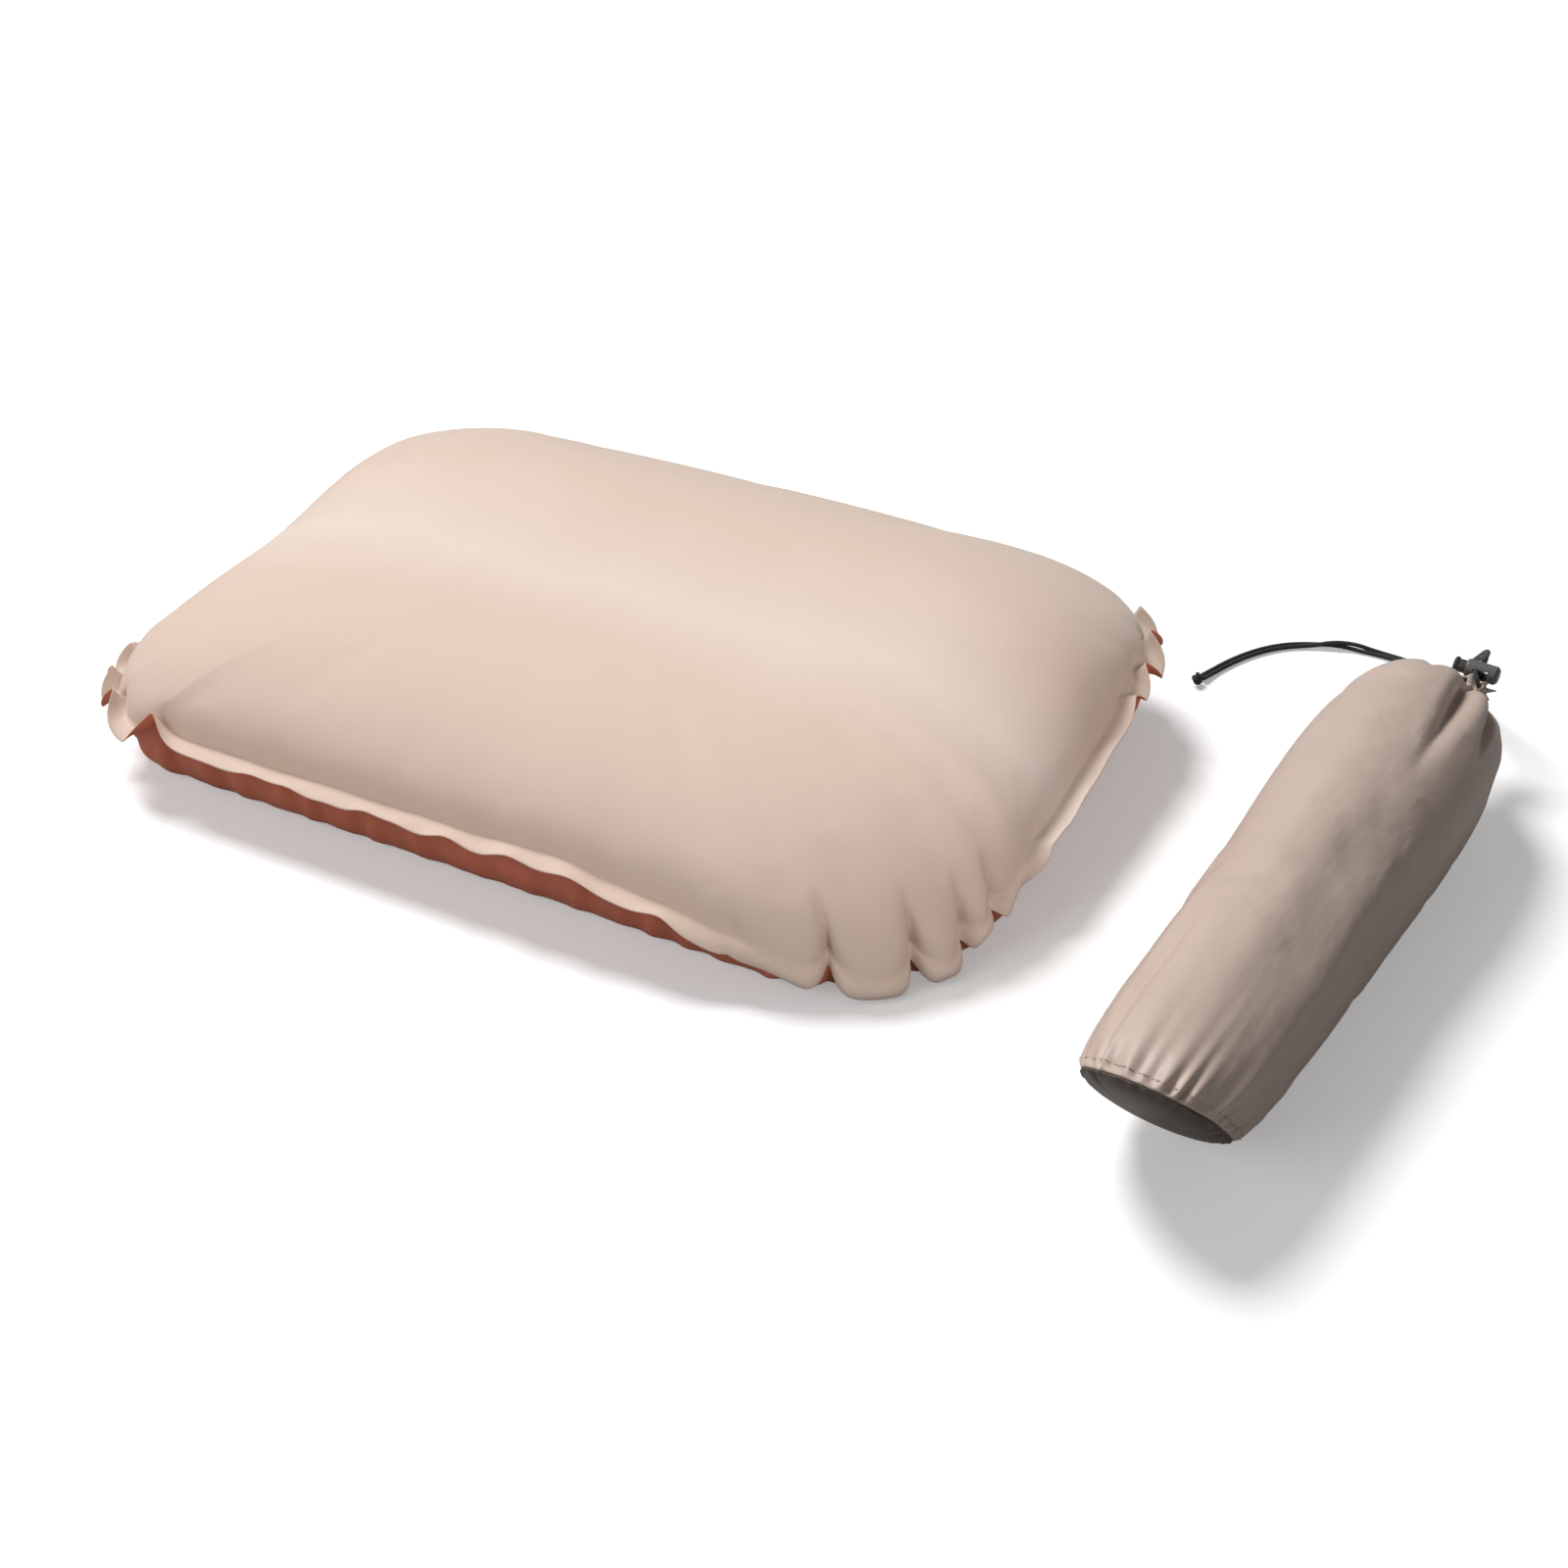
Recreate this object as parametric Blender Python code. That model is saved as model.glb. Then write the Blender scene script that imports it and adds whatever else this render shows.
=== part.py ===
"""Self-inflating camp pillow with a twist valve, and its stuff sack lying beside it, filled and drawn shut.

Frame, in metres: +Z up, X along the pillow's length, the tall back lobe towards +Y. The origin is the
centre of the pillow's flat base.
"""

import math

import bmesh
import bpy
from mathutils import Matrix, Vector

# ---------------------------------------------------------------- pillow
PILLOW_LENGTH = 0.464
PILLOW_WIDTH = 0.313
FLANGE_WIDTH = 0.0095
SEAM_HEIGHT = 0.0340
BASE_INSET = 0.0165
FRONT_LOBE_Y = -0.0775
VALLEY_Y = -0.0120
BACK_LOBE_Y = 0.0540
FRONT_LOBE_HEIGHT = 0.0875
VALLEY_HEIGHT = 0.0850
BACK_LOBE_HEIGHT = 0.1005
EDGE_HEIGHT_SHARE = 0.92
PLAN_POWER = 8.5
DOME_POWER = 4.1
FILM_WALL = 0.0010
FOAM_CLEARANCE = 0.0005
TOUCH_GAP = 0.0003
PLAN_POINTS = 60
DOME_STEPS = (0.0, 0.30, 0.55, 0.74, 0.87, 0.95, 0.985)

# ---------------------------------------------------------------- twist valve
VALVE_X = -0.160
STEM_RADIUS = 0.0065
STEM_INSIDE = 0.0200
STEM_OUTSIDE = 0.0110
BORE_RADIUS = 0.0032
COUNTERBORE_RADIUS = 0.0050
COUNTERBORE_DEPTH = 0.0070
BOAT_REACH = 0.0200
BOAT_SKIN = 0.0005
BOAT_STEPS = 12
BOAT_TAPER = 1.5
VALVE_CLEAR_SHARE = 1.3
THREAD_PITCH = 0.0040
THREAD_HEIGHT = 0.0008
THREAD_WIDTH = 0.0012
THREAD_START = 0.0052
THREAD_TURNS = 0.9
THREAD_TIP_SHARE = 0.6
CAP_THREAD_TURNS = 0.5
CAP_RADIUS = 0.0105
CAP_WALL = 0.0020
CAP_SKIRT_START = 0.0036
CAP_CROWN = 0.0150
CAP_RIDGES = 20
CAP_RIDGE_DEPTH = 0.0005
CAP_EDGE_ROUND = 0.0012
CAP_EDGE_DEPTH = 0.0010
CAP_RUNNING_GAP = 0.0003
ROD_RADIUS = 0.0020
NOSE_RADIUS = 0.0024
NOSE_TIP_RADIUS = 0.00192
NOSE_TAPER_LENGTH = 0.0006
HEAD_RADIUS = 0.0044
HEAD_THICKNESS = 0.0016
O_RING_RADIUS = 0.00075
COLLAR_RADIUS = 0.0034
COLLAR_THICKNESS = 0.0010
RETAINER_RADIUS = 0.0038
RETAINER_THICKNESS = 0.0012
RETAINER_CHAMFER_SHARE = 0.4
RETAINER_TOP_SHARE = 0.85
STRAINER_THICKNESS = 0.0015
STRAINER_HOLE_RADIUS = 0.0012
STRAINER_HOLE_PITCH = 0.0036
POCKET_CLEARANCE = 0.0020

# ---------------------------------------------------------------- stuff sack
SACK_FLOOR_X = 0.3238
SACK_FLOOR_Y = -0.1705
SACK_TURN_DEG = -5.9
SACK_LENGTH = 0.2852
SACK_BASE_RADIUS = 0.0385
SACK_MOUTH_RADIUS = 0.0450
SACK_BASE_SLANT_DEG = 18.0
SACK_SLANT_FADE = 0.110
SACK_WALL = 0.0008
SACK_SIDES = 36
MOUTH_OFFSET = 0.0080
SHOULDER_LENGTH = 0.0220
NECK_LENGTH = 0.0360
NECK_RADIUS = 0.0076
BASE_DISC_DOME = 0.0050
BASE_SEAM_SHARE = 0.88
ROLL_OVERRUN = 0.0050
ROLL_CLEARANCE = 0.0004

# ---------------------------------------------------------------- drawcord and its lock
CORD_DIAMETER = 0.0022
STRAND_GAP = 0.0003
CORD_SPACING = 0.0058
LEAD_SPACING = 0.0015
LEAD_LENGTH = 0.0100
HEM_RING_RADIUS = 0.0070
HEM_WALL = 0.0007
HEM_OPENING_DEG = 90.0
LOOP_END_INSET = 0.0009
KNOT_RADIUS = 0.0034
KNOT_STEPS = 8
LOCK_STANDOFF = 0.0060
LOCK_RADIUS = 0.0045
LOCK_WALL = 0.0010
LOCK_END_WALL = 0.0012
LOCK_MOUTH_ROUND = 0.0008
LOCK_MOUTH_SHARE = 0.93
LOCK_TAIL_ROUND = 0.0012
LOCK_TAIL_SHARE = 0.72
BUTTON_TRAVEL = 0.0040
BUTTON_HEAD_RADIUS = 0.0039
BUTTON_HEAD_THICKNESS = 0.0017
BUTTON_EDGE_ROUND = 0.0005
BUTTON_EDGE_SHARE = 0.8
CORD_SIDE_PLAY = 0.00035
CORD_END_PLAY = 0.00025
SPRING_WIRE_RADIUS = 0.00025
SPRING_TURNS = 3
SPRING_ROOM = 0.00225
SPRING_STEPS = 14
SPRING_SIDES = 6

# Where the two strands of the drawcord run, outside the hem. Each row is a place on the line midway
# between them, seen from the centre of the hem ring: across the sack, ahead of the mouth, height above
# the floor; then how far the pair is rolled, in degrees, and half the distance between the strands.
PAIR_HALF = (CORD_DIAMETER + STRAND_GAP) / 2
CORD_ROUTE = (
    (0.0000, 0.0000, 0.0503, 0, 0.00459),
    (0.0000, 0.0010, 0.0513, 8, 0.00340),
    (0.0000, 0.0033, 0.0520, 50, 0.00190),
    (0.0000, 0.0060, 0.0520, 90, PAIR_HALF),
    (0.0000, 0.0130, 0.0520, 90, PAIR_HALF),
    (0.0000, 0.0215, 0.0520, 90, PAIR_HALF),
    (-0.0012, 0.0295, 0.0502, 80, PAIR_HALF),
    (-0.0046, 0.0380, 0.0447, 65, PAIR_HALF),
    (-0.0095, 0.0470, 0.0355, 50, PAIR_HALF),
    (-0.0155, 0.0560, 0.0250, 35, PAIR_HALF),
    (-0.0230, 0.0645, 0.0150, 20, PAIR_HALF),
    (-0.0325, 0.0720, 0.0075, 10, PAIR_HALF),
    (-0.0440, 0.0775, 0.0032, 2, PAIR_HALF),
    (-0.0560, 0.0800, 0.0016, 0, PAIR_HALF),
    (-0.0690, 0.0795, 0.0016, 15, PAIR_HALF),
    (-0.0800, 0.0770, 0.0027, 75, PAIR_HALF),
    (-0.0890, 0.0738, 0.0027, 115, PAIR_HALF),
    (-0.0985, 0.0690, 0.0016, 165, PAIR_HALF),
    (-0.1080, 0.0620, 0.0014, 180, PAIR_HALF),
    (-0.1160, 0.0530, 0.0014, 180, PAIR_HALF),
    (-0.1225, 0.0420, 0.0014, 180, PAIR_HALF),
    (-0.1275, 0.0300, 0.0014, 180, PAIR_HALF),
    (-0.1310, 0.0180, 0.0016, 180, PAIR_HALF),
    (-0.1332, 0.0072, 0.0026, 180, PAIR_HALF),
)
KNOT_ACROSS = -0.1339
KNOT_AHEAD = 0.0032

# ---------------------------------------------------------------- values that follow from the sizes
DOME_HALF_LENGTH = PILLOW_LENGTH / 2 - FLANGE_WIDTH
DOME_HALF_WIDTH = PILLOW_WIDTH / 2 - FLANGE_WIDTH
CORD_RADIUS = CORD_DIAMETER / 2
BOAT_HALF_HEIGHT = STEM_RADIUS + BOAT_SKIN
HEM_BORE = CORD_RADIUS + TOUCH_GAP
HEM_OUTER = HEM_BORE + HEM_WALL
RING_STATION = SACK_LENGTH + NECK_LENGTH
NECK_END = RING_STATION - HEM_OUTER - TOUCH_GAP
LOCK_BORE = LOCK_RADIUS - LOCK_WALL
BUTTON_RADIUS = LOCK_BORE - TOUCH_GAP
SLOT_HALF_WIDTH = CORD_RADIUS + CORD_SIDE_PLAY
SLOT_HALF_HEIGHT = PAIR_HALF + CORD_RADIUS + CORD_END_PLAY


# ---------------------------------------------------------------- building blocks
def material(name, colour, roughness, metallic=0.0):
    """A plain Principled finish."""
    finish = bpy.data.materials.new(name)
    finish.use_nodes = True
    shader = finish.node_tree.nodes["Principled BSDF"]
    shader.inputs["Base Color"].default_value = (*colour, 1.0)
    shader.inputs["Roughness"].default_value = roughness
    shader.inputs["Metallic"].default_value = metallic
    return finish


def add_object(name, data, finish, parent=None):
    """Link an object with its own finish, under a parent empty where one is given."""
    obj = bpy.data.objects.new(name, data)
    data.materials.append(finish)
    obj.parent = parent
    bpy.context.scene.collection.objects.link(obj)
    return obj


def add_empty(name, place, turn=(0.0, 0.0, 0.0), parent=None):
    """An empty that carries a group of pieces."""
    empty = bpy.data.objects.new(name, None)
    empty.location = place
    empty.rotation_euler = turn
    empty.empty_display_size = 0.02
    empty.parent = parent
    bpy.context.scene.collection.objects.link(empty)
    return empty


def ring_girth(row):
    """The length round a ring of vertices."""
    return sum((row[i].co - row[i - 1].co).length for i in range(len(row)))


def loft(name, rings, finish, parent=None, wrap=False, smooth_angle=40.0, turn=None):
    """A closed solid through rings of points. A ring of one point is a pole; flat end rings are capped.

    With wrap the last ring joins the first, as on a tube with a bore. Each four-sided patch is split from
    its smaller ring to its larger one, so that surfaces lying one inside another are split alike.
    """
    mesh = bpy.data.meshes.new(name)
    bm = bmesh.new()
    rows = [[bm.verts.new(point) for point in ring] for ring in rings]
    pairs = list(zip(rows, rows[1:]))
    if wrap:
        pairs.append((rows[-1], rows[0]))
    for near, far in pairs:
        small, large = sorted((near, far), key=ring_girth)
        count = len(large)
        for i in range(count):
            j = (i + 1) % count
            bm.faces.new((small[i % len(small)], large[j], large[i]))
            if len(small) > 1:
                bm.faces.new((small[i], small[j], large[j]))
    if not wrap:
        for row in (rows[0], rows[-1]):
            if len(row) > 1:
                bm.faces.new(row)
    bmesh.ops.recalc_face_normals(bm, faces=bm.faces)
    if turn is not None:
        bm.transform(turn)
    bm.to_mesh(mesh)
    bm.free()
    mesh.shade_smooth()
    mesh.set_sharp_from_angle(angle=math.radians(smooth_angle))
    return add_object(name, mesh, finish, parent)


def turned(name, profile, finish, parent=None, sides=32, wrap=False, turn=None, ripple=0,
           ripple_depth=0.0):
    """A solid turned round local Z. The profile is (along, radius) points; radius 0 is a pole.

    ripple cuts that many shallow flutes into the points whose radius is the profile's largest.
    """
    largest = max(radius for _, radius in profile)
    rings = []
    for along, radius in profile:
        if radius == 0.0:
            rings.append([(0.0, 0.0, along)])
            continue
        ring = []
        for i in range(sides):
            angle = 2 * math.pi * i / sides
            reach = radius
            if ripple and radius == largest:
                reach -= ripple_depth * (1 + math.cos(ripple * angle)) / 2
            ring.append((reach * math.cos(angle), reach * math.sin(angle), along))
        rings.append(ring)
    return loft(name, rings, finish, parent, wrap=wrap, turn=turn)


def cutter(name, low, high, parent=None):
    """A box that cuts other pieces and isn't one itself."""
    corners = [(low[0], low[1]), (high[0], low[1]), (high[0], high[1]), (low[0], high[1])]
    rings = [[(x, y, z) for x, y in corners] for z in (low[2], high[2])]
    box = loft(name, rings, material(name, (1.0, 0.2, 0.2), 0.5), parent)
    return as_guide(box)


def as_guide(obj):
    """Mark an object as a tool of the model, not a piece of it."""
    obj.hide_render = True
    obj.display_type = "WIRE"
    return obj


def boolean(obj, tool, operation):
    """Cut or join with another mesh."""
    change = obj.modifiers.new(tool.name, "BOOLEAN")
    change.operation = operation
    change.solver = "EXACT"
    change.object = tool


def smoothstep(share):
    """0 to 1 with level ends."""
    share = min(max(share, 0.0), 1.0)
    return share * share * (3 - 2 * share)


# ---------------------------------------------------------------- pillow shape
def plan_edge_y(x):
    """The dome's back edge at a given x."""
    return DOME_HALF_WIDTH * (1 - abs(x / DOME_HALF_LENGTH) ** PLAN_POWER) ** (1 / PLAN_POWER)


def boat_thickness(x):
    """Half the height that the valve's boat lifts each film off the seam, at a given x."""
    share = abs(x - VALVE_X) / BOAT_REACH
    if share >= 1.0:
        return 0.0
    return BOAT_HALF_HEIGHT * math.cos(math.pi * share / 2) ** BOAT_TAPER


def boat_stations():
    """The x of each step along the boat, where the films have a point too."""
    return [VALVE_X + BOAT_REACH * (2 * i / BOAT_STEPS - 1) for i in range(BOAT_STEPS + 1)]


def plan_outline():
    """Points round the dome's foot as (x, y, normal x, normal y), evenly spaced but finer at the valve."""
    def corner_point(angle):
        cos, sin = math.cos(angle), math.sin(angle)
        size = abs(cos / DOME_HALF_LENGTH) ** PLAN_POWER + abs(sin / DOME_HALF_WIDTH) ** PLAN_POWER
        reach = size ** (-1 / PLAN_POWER)
        return Vector((reach * cos, reach * sin))

    fine = [corner_point(2 * math.pi * i / 3600) for i in range(3601)]
    lengths = [0.0]
    for start, end in zip(fine, fine[1:]):
        lengths.append(lengths[-1] + (end - start).length)
    places = []
    index = 0
    for i in range(PLAN_POINTS):
        wanted = lengths[-1] * i / PLAN_POINTS
        while lengths[index] < wanted:
            index += 1
        point = fine[index]
        beside_valve = point.y > 0 and abs(point.x - VALVE_X) < VALVE_CLEAR_SHARE * BOAT_REACH
        if not beside_valve:
            places.append(point)
    places += [Vector((x, plan_edge_y(x))) for x in boat_stations()]
    places.sort(key=lambda point: math.atan2(point.y, point.x))
    outline = []
    for point in places:
        slope_x = abs(point.x / DOME_HALF_LENGTH) ** (PLAN_POWER - 1) / DOME_HALF_LENGTH
        slope_y = abs(point.y / DOME_HALF_WIDTH) ** (PLAN_POWER - 1) / DOME_HALF_WIDTH
        normal = Vector((math.copysign(slope_x, point.x), math.copysign(slope_y, point.y))).normalized()
        outline.append((point.x, point.y, normal.x, normal.y))
    return outline


OUTLINE = plan_outline()


def plan_ring(outset, height, film_side=0):
    """A ring set out from the dome's foot. film_side +1 or -1 lifts it over or under the valve's boat."""
    ring = []
    for x, y, nx, ny in OUTLINE:
        lift = film_side * boat_thickness(x) if y > 0 else 0.0
        ring.append((x + nx * outset, y + ny * outset, height + lift))
    return ring


def crown_height(y):
    """Height of the two-lobed top over the middle of the pillow, at a given y."""
    stations = (
        (-PILLOW_WIDTH / 2, FRONT_LOBE_HEIGHT * EDGE_HEIGHT_SHARE),
        (FRONT_LOBE_Y, FRONT_LOBE_HEIGHT),
        (VALLEY_Y, VALLEY_HEIGHT),
        (BACK_LOBE_Y, BACK_LOBE_HEIGHT),
        (PILLOW_WIDTH / 2, BACK_LOBE_HEIGHT * EDGE_HEIGHT_SHARE),
    )
    for (start, low), (end, high) in zip(stations, stations[1:]):
        if y <= end:
            return low + (high - low) * smoothstep((y - start) / (end - start))
    return stations[-1][1]


def dome_rings(inset, drop, foot):
    """Rings from the crown's centre out to just inside the foot, lowered by drop and set in by inset."""
    rings = []
    for share in DOME_STEPS:
        if share == 0.0:
            rings.append([(0.0, 0.0, crown_height(0.0) - drop)])
            continue
        bulge = (1 - share ** DOME_POWER) ** 0.5
        ring = []
        for x, y, nx, ny in OUTLINE:
            px, py = (x - nx * inset) * share, (y - ny * inset) * share
            ring.append((px, py, foot + (crown_height(py) - drop - foot) * bulge))
        rings.append(ring)
    return rings


def build_top_shell():
    """The domed top film, with its half of the welded flange."""
    low = SEAM_HEIGHT + TOUCH_GAP / 2
    high = low + FILM_WALL
    rings = dome_rings(0.0, 0.0, high)
    rings.append(plan_ring(0.0, high, 1))
    rings.append(plan_ring(FLANGE_WIDTH, high, 1))
    rings.append(plan_ring(FLANGE_WIDTH, low, 1))
    rings.append(plan_ring(-FILM_WALL, low, 1))
    rings += reversed(dome_rings(FILM_WALL, FILM_WALL, low))
    return loft("top_shell", rings, material("beige_knit", (0.66, 0.54, 0.46), 0.85))


def pan_rings(inset, floor, foot):
    """Rings of the shallow base pan, from its foot under the seam in to the flat base."""
    depth = foot - floor
    return [
        plan_ring(-inset - 0.15 * BASE_INSET, floor + 0.60 * depth),
        plan_ring(-inset - 0.45 * BASE_INSET, floor + 0.22 * depth),
        plan_ring(-inset - BASE_INSET, floor),
    ]


def build_bottom_shell():
    """The shallow base pan, with its half of the welded flange."""
    high = SEAM_HEIGHT - TOUCH_GAP / 2
    low = high - FILM_WALL
    rings = list(reversed(pan_rings(0.0, 0.0, low)))
    rings.append(plan_ring(0.0, low, -1))
    rings.append(plan_ring(FLANGE_WIDTH, low, -1))
    rings.append(plan_ring(FLANGE_WIDTH, high, -1))
    rings.append(plan_ring(-FILM_WALL, high, -1))
    rings += pan_rings(FILM_WALL, FILM_WALL, high)
    return loft("bottom_shell", rings, material("rust_weave", (0.27, 0.073, 0.045), 0.7))


def build_foam_core(valve):
    """The contoured foam, pocketed round the inner end of the valve."""
    skin = FILM_WALL + FOAM_CLEARANCE
    rings = dome_rings(skin, skin, SEAM_HEIGHT)
    rings.append(plan_ring(-skin, SEAM_HEIGHT))
    rings += pan_rings(skin, skin, SEAM_HEIGHT)
    foam = loft("foam_core", rings, material("foam", (0.78, 0.72, 0.52), 0.95))
    side = STEM_RADIUS + POCKET_CLEARANCE
    depth = STEM_INSIDE + TOUCH_GAP + STRAINER_THICKNESS + POCKET_CLEARANCE
    pocket = cutter("foam_pocket", (-side, -side, -depth), (side, side, 0.0), valve)
    boolean(foam, pocket, "DIFFERENCE")
    return foam


# ---------------------------------------------------------------- twist valve, along local Z of its empty
def helix_ridge(name, root, tip, start, turns, finish, parent, steps_per_turn=24):
    """A screw thread's ridge between two radii, as one closed solid."""
    steps = int(steps_per_turn * turns)
    rings = []
    for i in range(steps + 1):
        turn = i / steps_per_turn
        angle = 2 * math.pi * turn
        along = start + THREAD_PITCH * turn
        cos, sin = math.cos(angle), math.sin(angle)
        half = THREAD_WIDTH / 2
        crest = half * THREAD_TIP_SHARE
        section = ((root, -half), (tip, -crest), (tip, crest), (root, half))
        rings.append([(radius * cos, radius * sin, along + shift) for radius, shift in section])
    return as_guide(loft(name, rings, finish, parent))


def build_valve_stem(valve):
    """The moulded stem: bore, counterbore, outer thread and the boat that the films are welded to."""
    plastic = material("valve_black", (0.03, 0.03, 0.032), 0.45)
    shoulder = STEM_OUTSIDE - COUNTERBORE_DEPTH
    profile = (
        (-STEM_INSIDE, BORE_RADIUS),
        (-STEM_INSIDE, STEM_RADIUS),
        (STEM_OUTSIDE, STEM_RADIUS),
        (STEM_OUTSIDE, COUNTERBORE_RADIUS),
        (shoulder, COUNTERBORE_RADIUS),
        (shoulder, BORE_RADIUS),
    )
    stem = turned("valve_stem", profile, plastic, valve, sides=32, wrap=True)
    inner, outer = -FLANGE_WIDTH - FILM_WALL, -TOUCH_GAP
    rings = []
    for x in boat_stations()[1:-1]:
        half = boat_thickness(x) - TOUCH_GAP / 2
        local = x - VALVE_X
        follow = plan_edge_y(x) - plan_edge_y(VALVE_X)
        low, high = inner + follow, outer + follow
        rings.append([(local, -half, low), (local, half, low), (local, half, high), (local, -half, high)])
    boat = as_guide(loft("valve_boat", rings, plastic, valve))
    bore_profile = (
        (inner - BORE_RADIUS, 0.0),
        (inner - BORE_RADIUS, COUNTERBORE_RADIUS),
        (BORE_RADIUS, COUNTERBORE_RADIUS),
        (BORE_RADIUS, 0.0),
    )
    bore = turned("boat_bore", bore_profile, plastic, valve)
    boolean(boat, as_guide(bore), "DIFFERENCE")
    boolean(stem, boat, "UNION")
    root = STEM_RADIUS - THREAD_HEIGHT / 2
    tip = STEM_RADIUS + THREAD_HEIGHT
    ridge = helix_ridge("stem_thread", root, tip, THREAD_START, THREAD_TURNS, plastic, valve)
    boolean(stem, ridge, "UNION")
    return stem


def build_strainer(valve):
    """The pierced disc that keeps foam crumbs out of the bore."""
    high = -STEM_INSIDE - TOUCH_GAP
    low = high - STRAINER_THICKNESS
    plastic = material("strainer_white", (0.7, 0.7, 0.68), 0.5)
    profile = ((low, 0.0), (low, STEM_RADIUS), (high, STEM_RADIUS), (high, 0.0))
    disc = turned("valve_strainer", profile, plastic, valve)
    for i in range(4):
        angle = math.pi / 4 + math.pi / 2 * i
        place = Vector((math.cos(angle), math.sin(angle), 0.0)) * STRAINER_HOLE_PITCH
        shift = Matrix.Translation(place)
        hole_profile = (
            (low - TOUCH_GAP, 0.0),
            (low - TOUCH_GAP, STRAINER_HOLE_RADIUS),
            (high + TOUCH_GAP, STRAINER_HOLE_RADIUS),
            (high + TOUCH_GAP, 0.0),
        )
        hole = turned(f"strainer_hole_{i + 1}", hole_profile, plastic, valve, sides=12, turn=shift)
        boolean(disc, as_guide(hole), "DIFFERENCE")
    return disc


def build_plunger(valve):
    """The plug that the cap draws out of the bore, with its O-ring and the clip that holds the cap on."""
    shoulder = STEM_OUTSIDE - COUNTERBORE_DEPTH
    ring_middle = shoulder + TOUCH_GAP + O_RING_RADIUS
    head_low = ring_middle + O_RING_RADIUS + TOUCH_GAP
    head_high = head_low + HEAD_THICKNESS
    crown_low = CAP_CROWN - CAP_WALL
    collar_high = crown_low - CAP_RUNNING_GAP
    collar_low = collar_high - COLLAR_THICKNESS
    clip_low = CAP_CROWN + CAP_RUNNING_GAP
    rod_end = clip_low + RETAINER_THICKNESS + TOUCH_GAP
    profile = (
        (shoulder - BORE_RADIUS, 0.0),
        (shoulder - BORE_RADIUS, NOSE_TIP_RADIUS),
        (shoulder - BORE_RADIUS + NOSE_TAPER_LENGTH, NOSE_RADIUS),
        (head_low, NOSE_RADIUS),
        (head_low, HEAD_RADIUS),
        (head_high, HEAD_RADIUS),
        (head_high, ROD_RADIUS),
        (collar_low, ROD_RADIUS),
        (collar_low, COLLAR_RADIUS),
        (collar_high, COLLAR_RADIUS),
        (collar_high, ROD_RADIUS),
        (rod_end, ROD_RADIUS),
        (rod_end, 0.0),
    )
    turned("valve_plunger", profile, material("plunger_grey", (0.2, 0.2, 0.2), 0.5), valve, sides=24)
    ring_radius = NOSE_RADIUS + TOUCH_GAP + O_RING_RADIUS
    section = [2 * math.pi * i / 8 for i in range(8)]
    tube = [(ring_middle + O_RING_RADIUS * math.sin(angle), ring_radius + O_RING_RADIUS * math.cos(angle))
            for angle in section]
    turned("valve_o_ring", tube, material("seal_rubber", (0.02, 0.02, 0.02), 0.6), valve, sides=24, wrap=True)
    clip_bore = ROD_RADIUS + TOUCH_GAP
    clip = (
        (clip_low, clip_bore),
        (clip_low, RETAINER_RADIUS),
        (clip_low + RETAINER_THICKNESS * (1 - RETAINER_CHAMFER_SHARE), RETAINER_RADIUS),
        (clip_low + RETAINER_THICKNESS, RETAINER_RADIUS * RETAINER_TOP_SHARE),
        (clip_low + RETAINER_THICKNESS, clip_bore),
    )
    grey = material("retainer_grey", (0.25, 0.25, 0.25), 0.45)
    turned("valve_retainer", clip, grey, valve, sides=24, wrap=True)


def build_cap(valve):
    """The fluted cap. Its inner thread follows the stem's, half a pitch away."""
    plastic = material("cap_black", (0.025, 0.025, 0.028), 0.4)
    bore = STEM_RADIUS + THREAD_HEIGHT + CAP_RUNNING_GAP
    crown_low = CAP_CROWN - CAP_WALL
    hole = ROD_RADIUS + CAP_RUNNING_GAP
    edge = CAP_RADIUS - CAP_EDGE_ROUND
    profile = (
        (CAP_SKIRT_START, bore),
        (CAP_SKIRT_START, CAP_RADIUS),
        (CAP_CROWN - CAP_EDGE_DEPTH, CAP_RADIUS),
        (CAP_CROWN, edge),
        (CAP_CROWN, hole),
        (crown_low, hole),
        (crown_low, bore),
    )
    cap = turned("valve_cap", profile, plastic, valve, sides=CAP_RIDGES * 3, wrap=True,
                 ripple=CAP_RIDGES, ripple_depth=CAP_RIDGE_DEPTH)
    start = THREAD_START + THREAD_PITCH / 2
    root, tip = bore + THREAD_HEIGHT / 2, STEM_RADIUS + CAP_RUNNING_GAP
    ridge = helix_ridge("cap_thread", root, tip, start, CAP_THREAD_TURNS, plastic, valve)
    boolean(cap, ridge, "UNION")
    return cap


# ---------------------------------------------------------------- sack, along local Y of its empty
def sack_axis_height(along):
    """Height of the sack's middle line above the floor it lies on."""
    share = min(max(along / (SACK_LENGTH - SHOULDER_LENGTH), 0.0), 1.0)
    return SACK_BASE_RADIUS + (SACK_MOUTH_RADIUS - SACK_BASE_RADIUS) * share


def sack_axis_across(along):
    """How far the gathered mouth stands off to the side."""
    return MOUTH_OFFSET * smoothstep((along - SACK_LENGTH) / NECK_LENGTH)


def sack_ring(along, radius):
    """A ring round the sack's middle line. Near the base it leans, so the end face looks down a little."""
    slant = math.tan(math.radians(SACK_BASE_SLANT_DEG)) * min(max(1 - along / SACK_SLANT_FADE, 0.0), 1.0)
    ring = []
    for i in range(SACK_SIDES):
        angle = 2 * math.pi * i / SACK_SIDES
        up = radius * math.sin(angle)
        ring.append((sack_axis_across(along) + radius * math.cos(angle), along - slant * up,
                     sack_axis_height(along) + up))
    return ring


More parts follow.
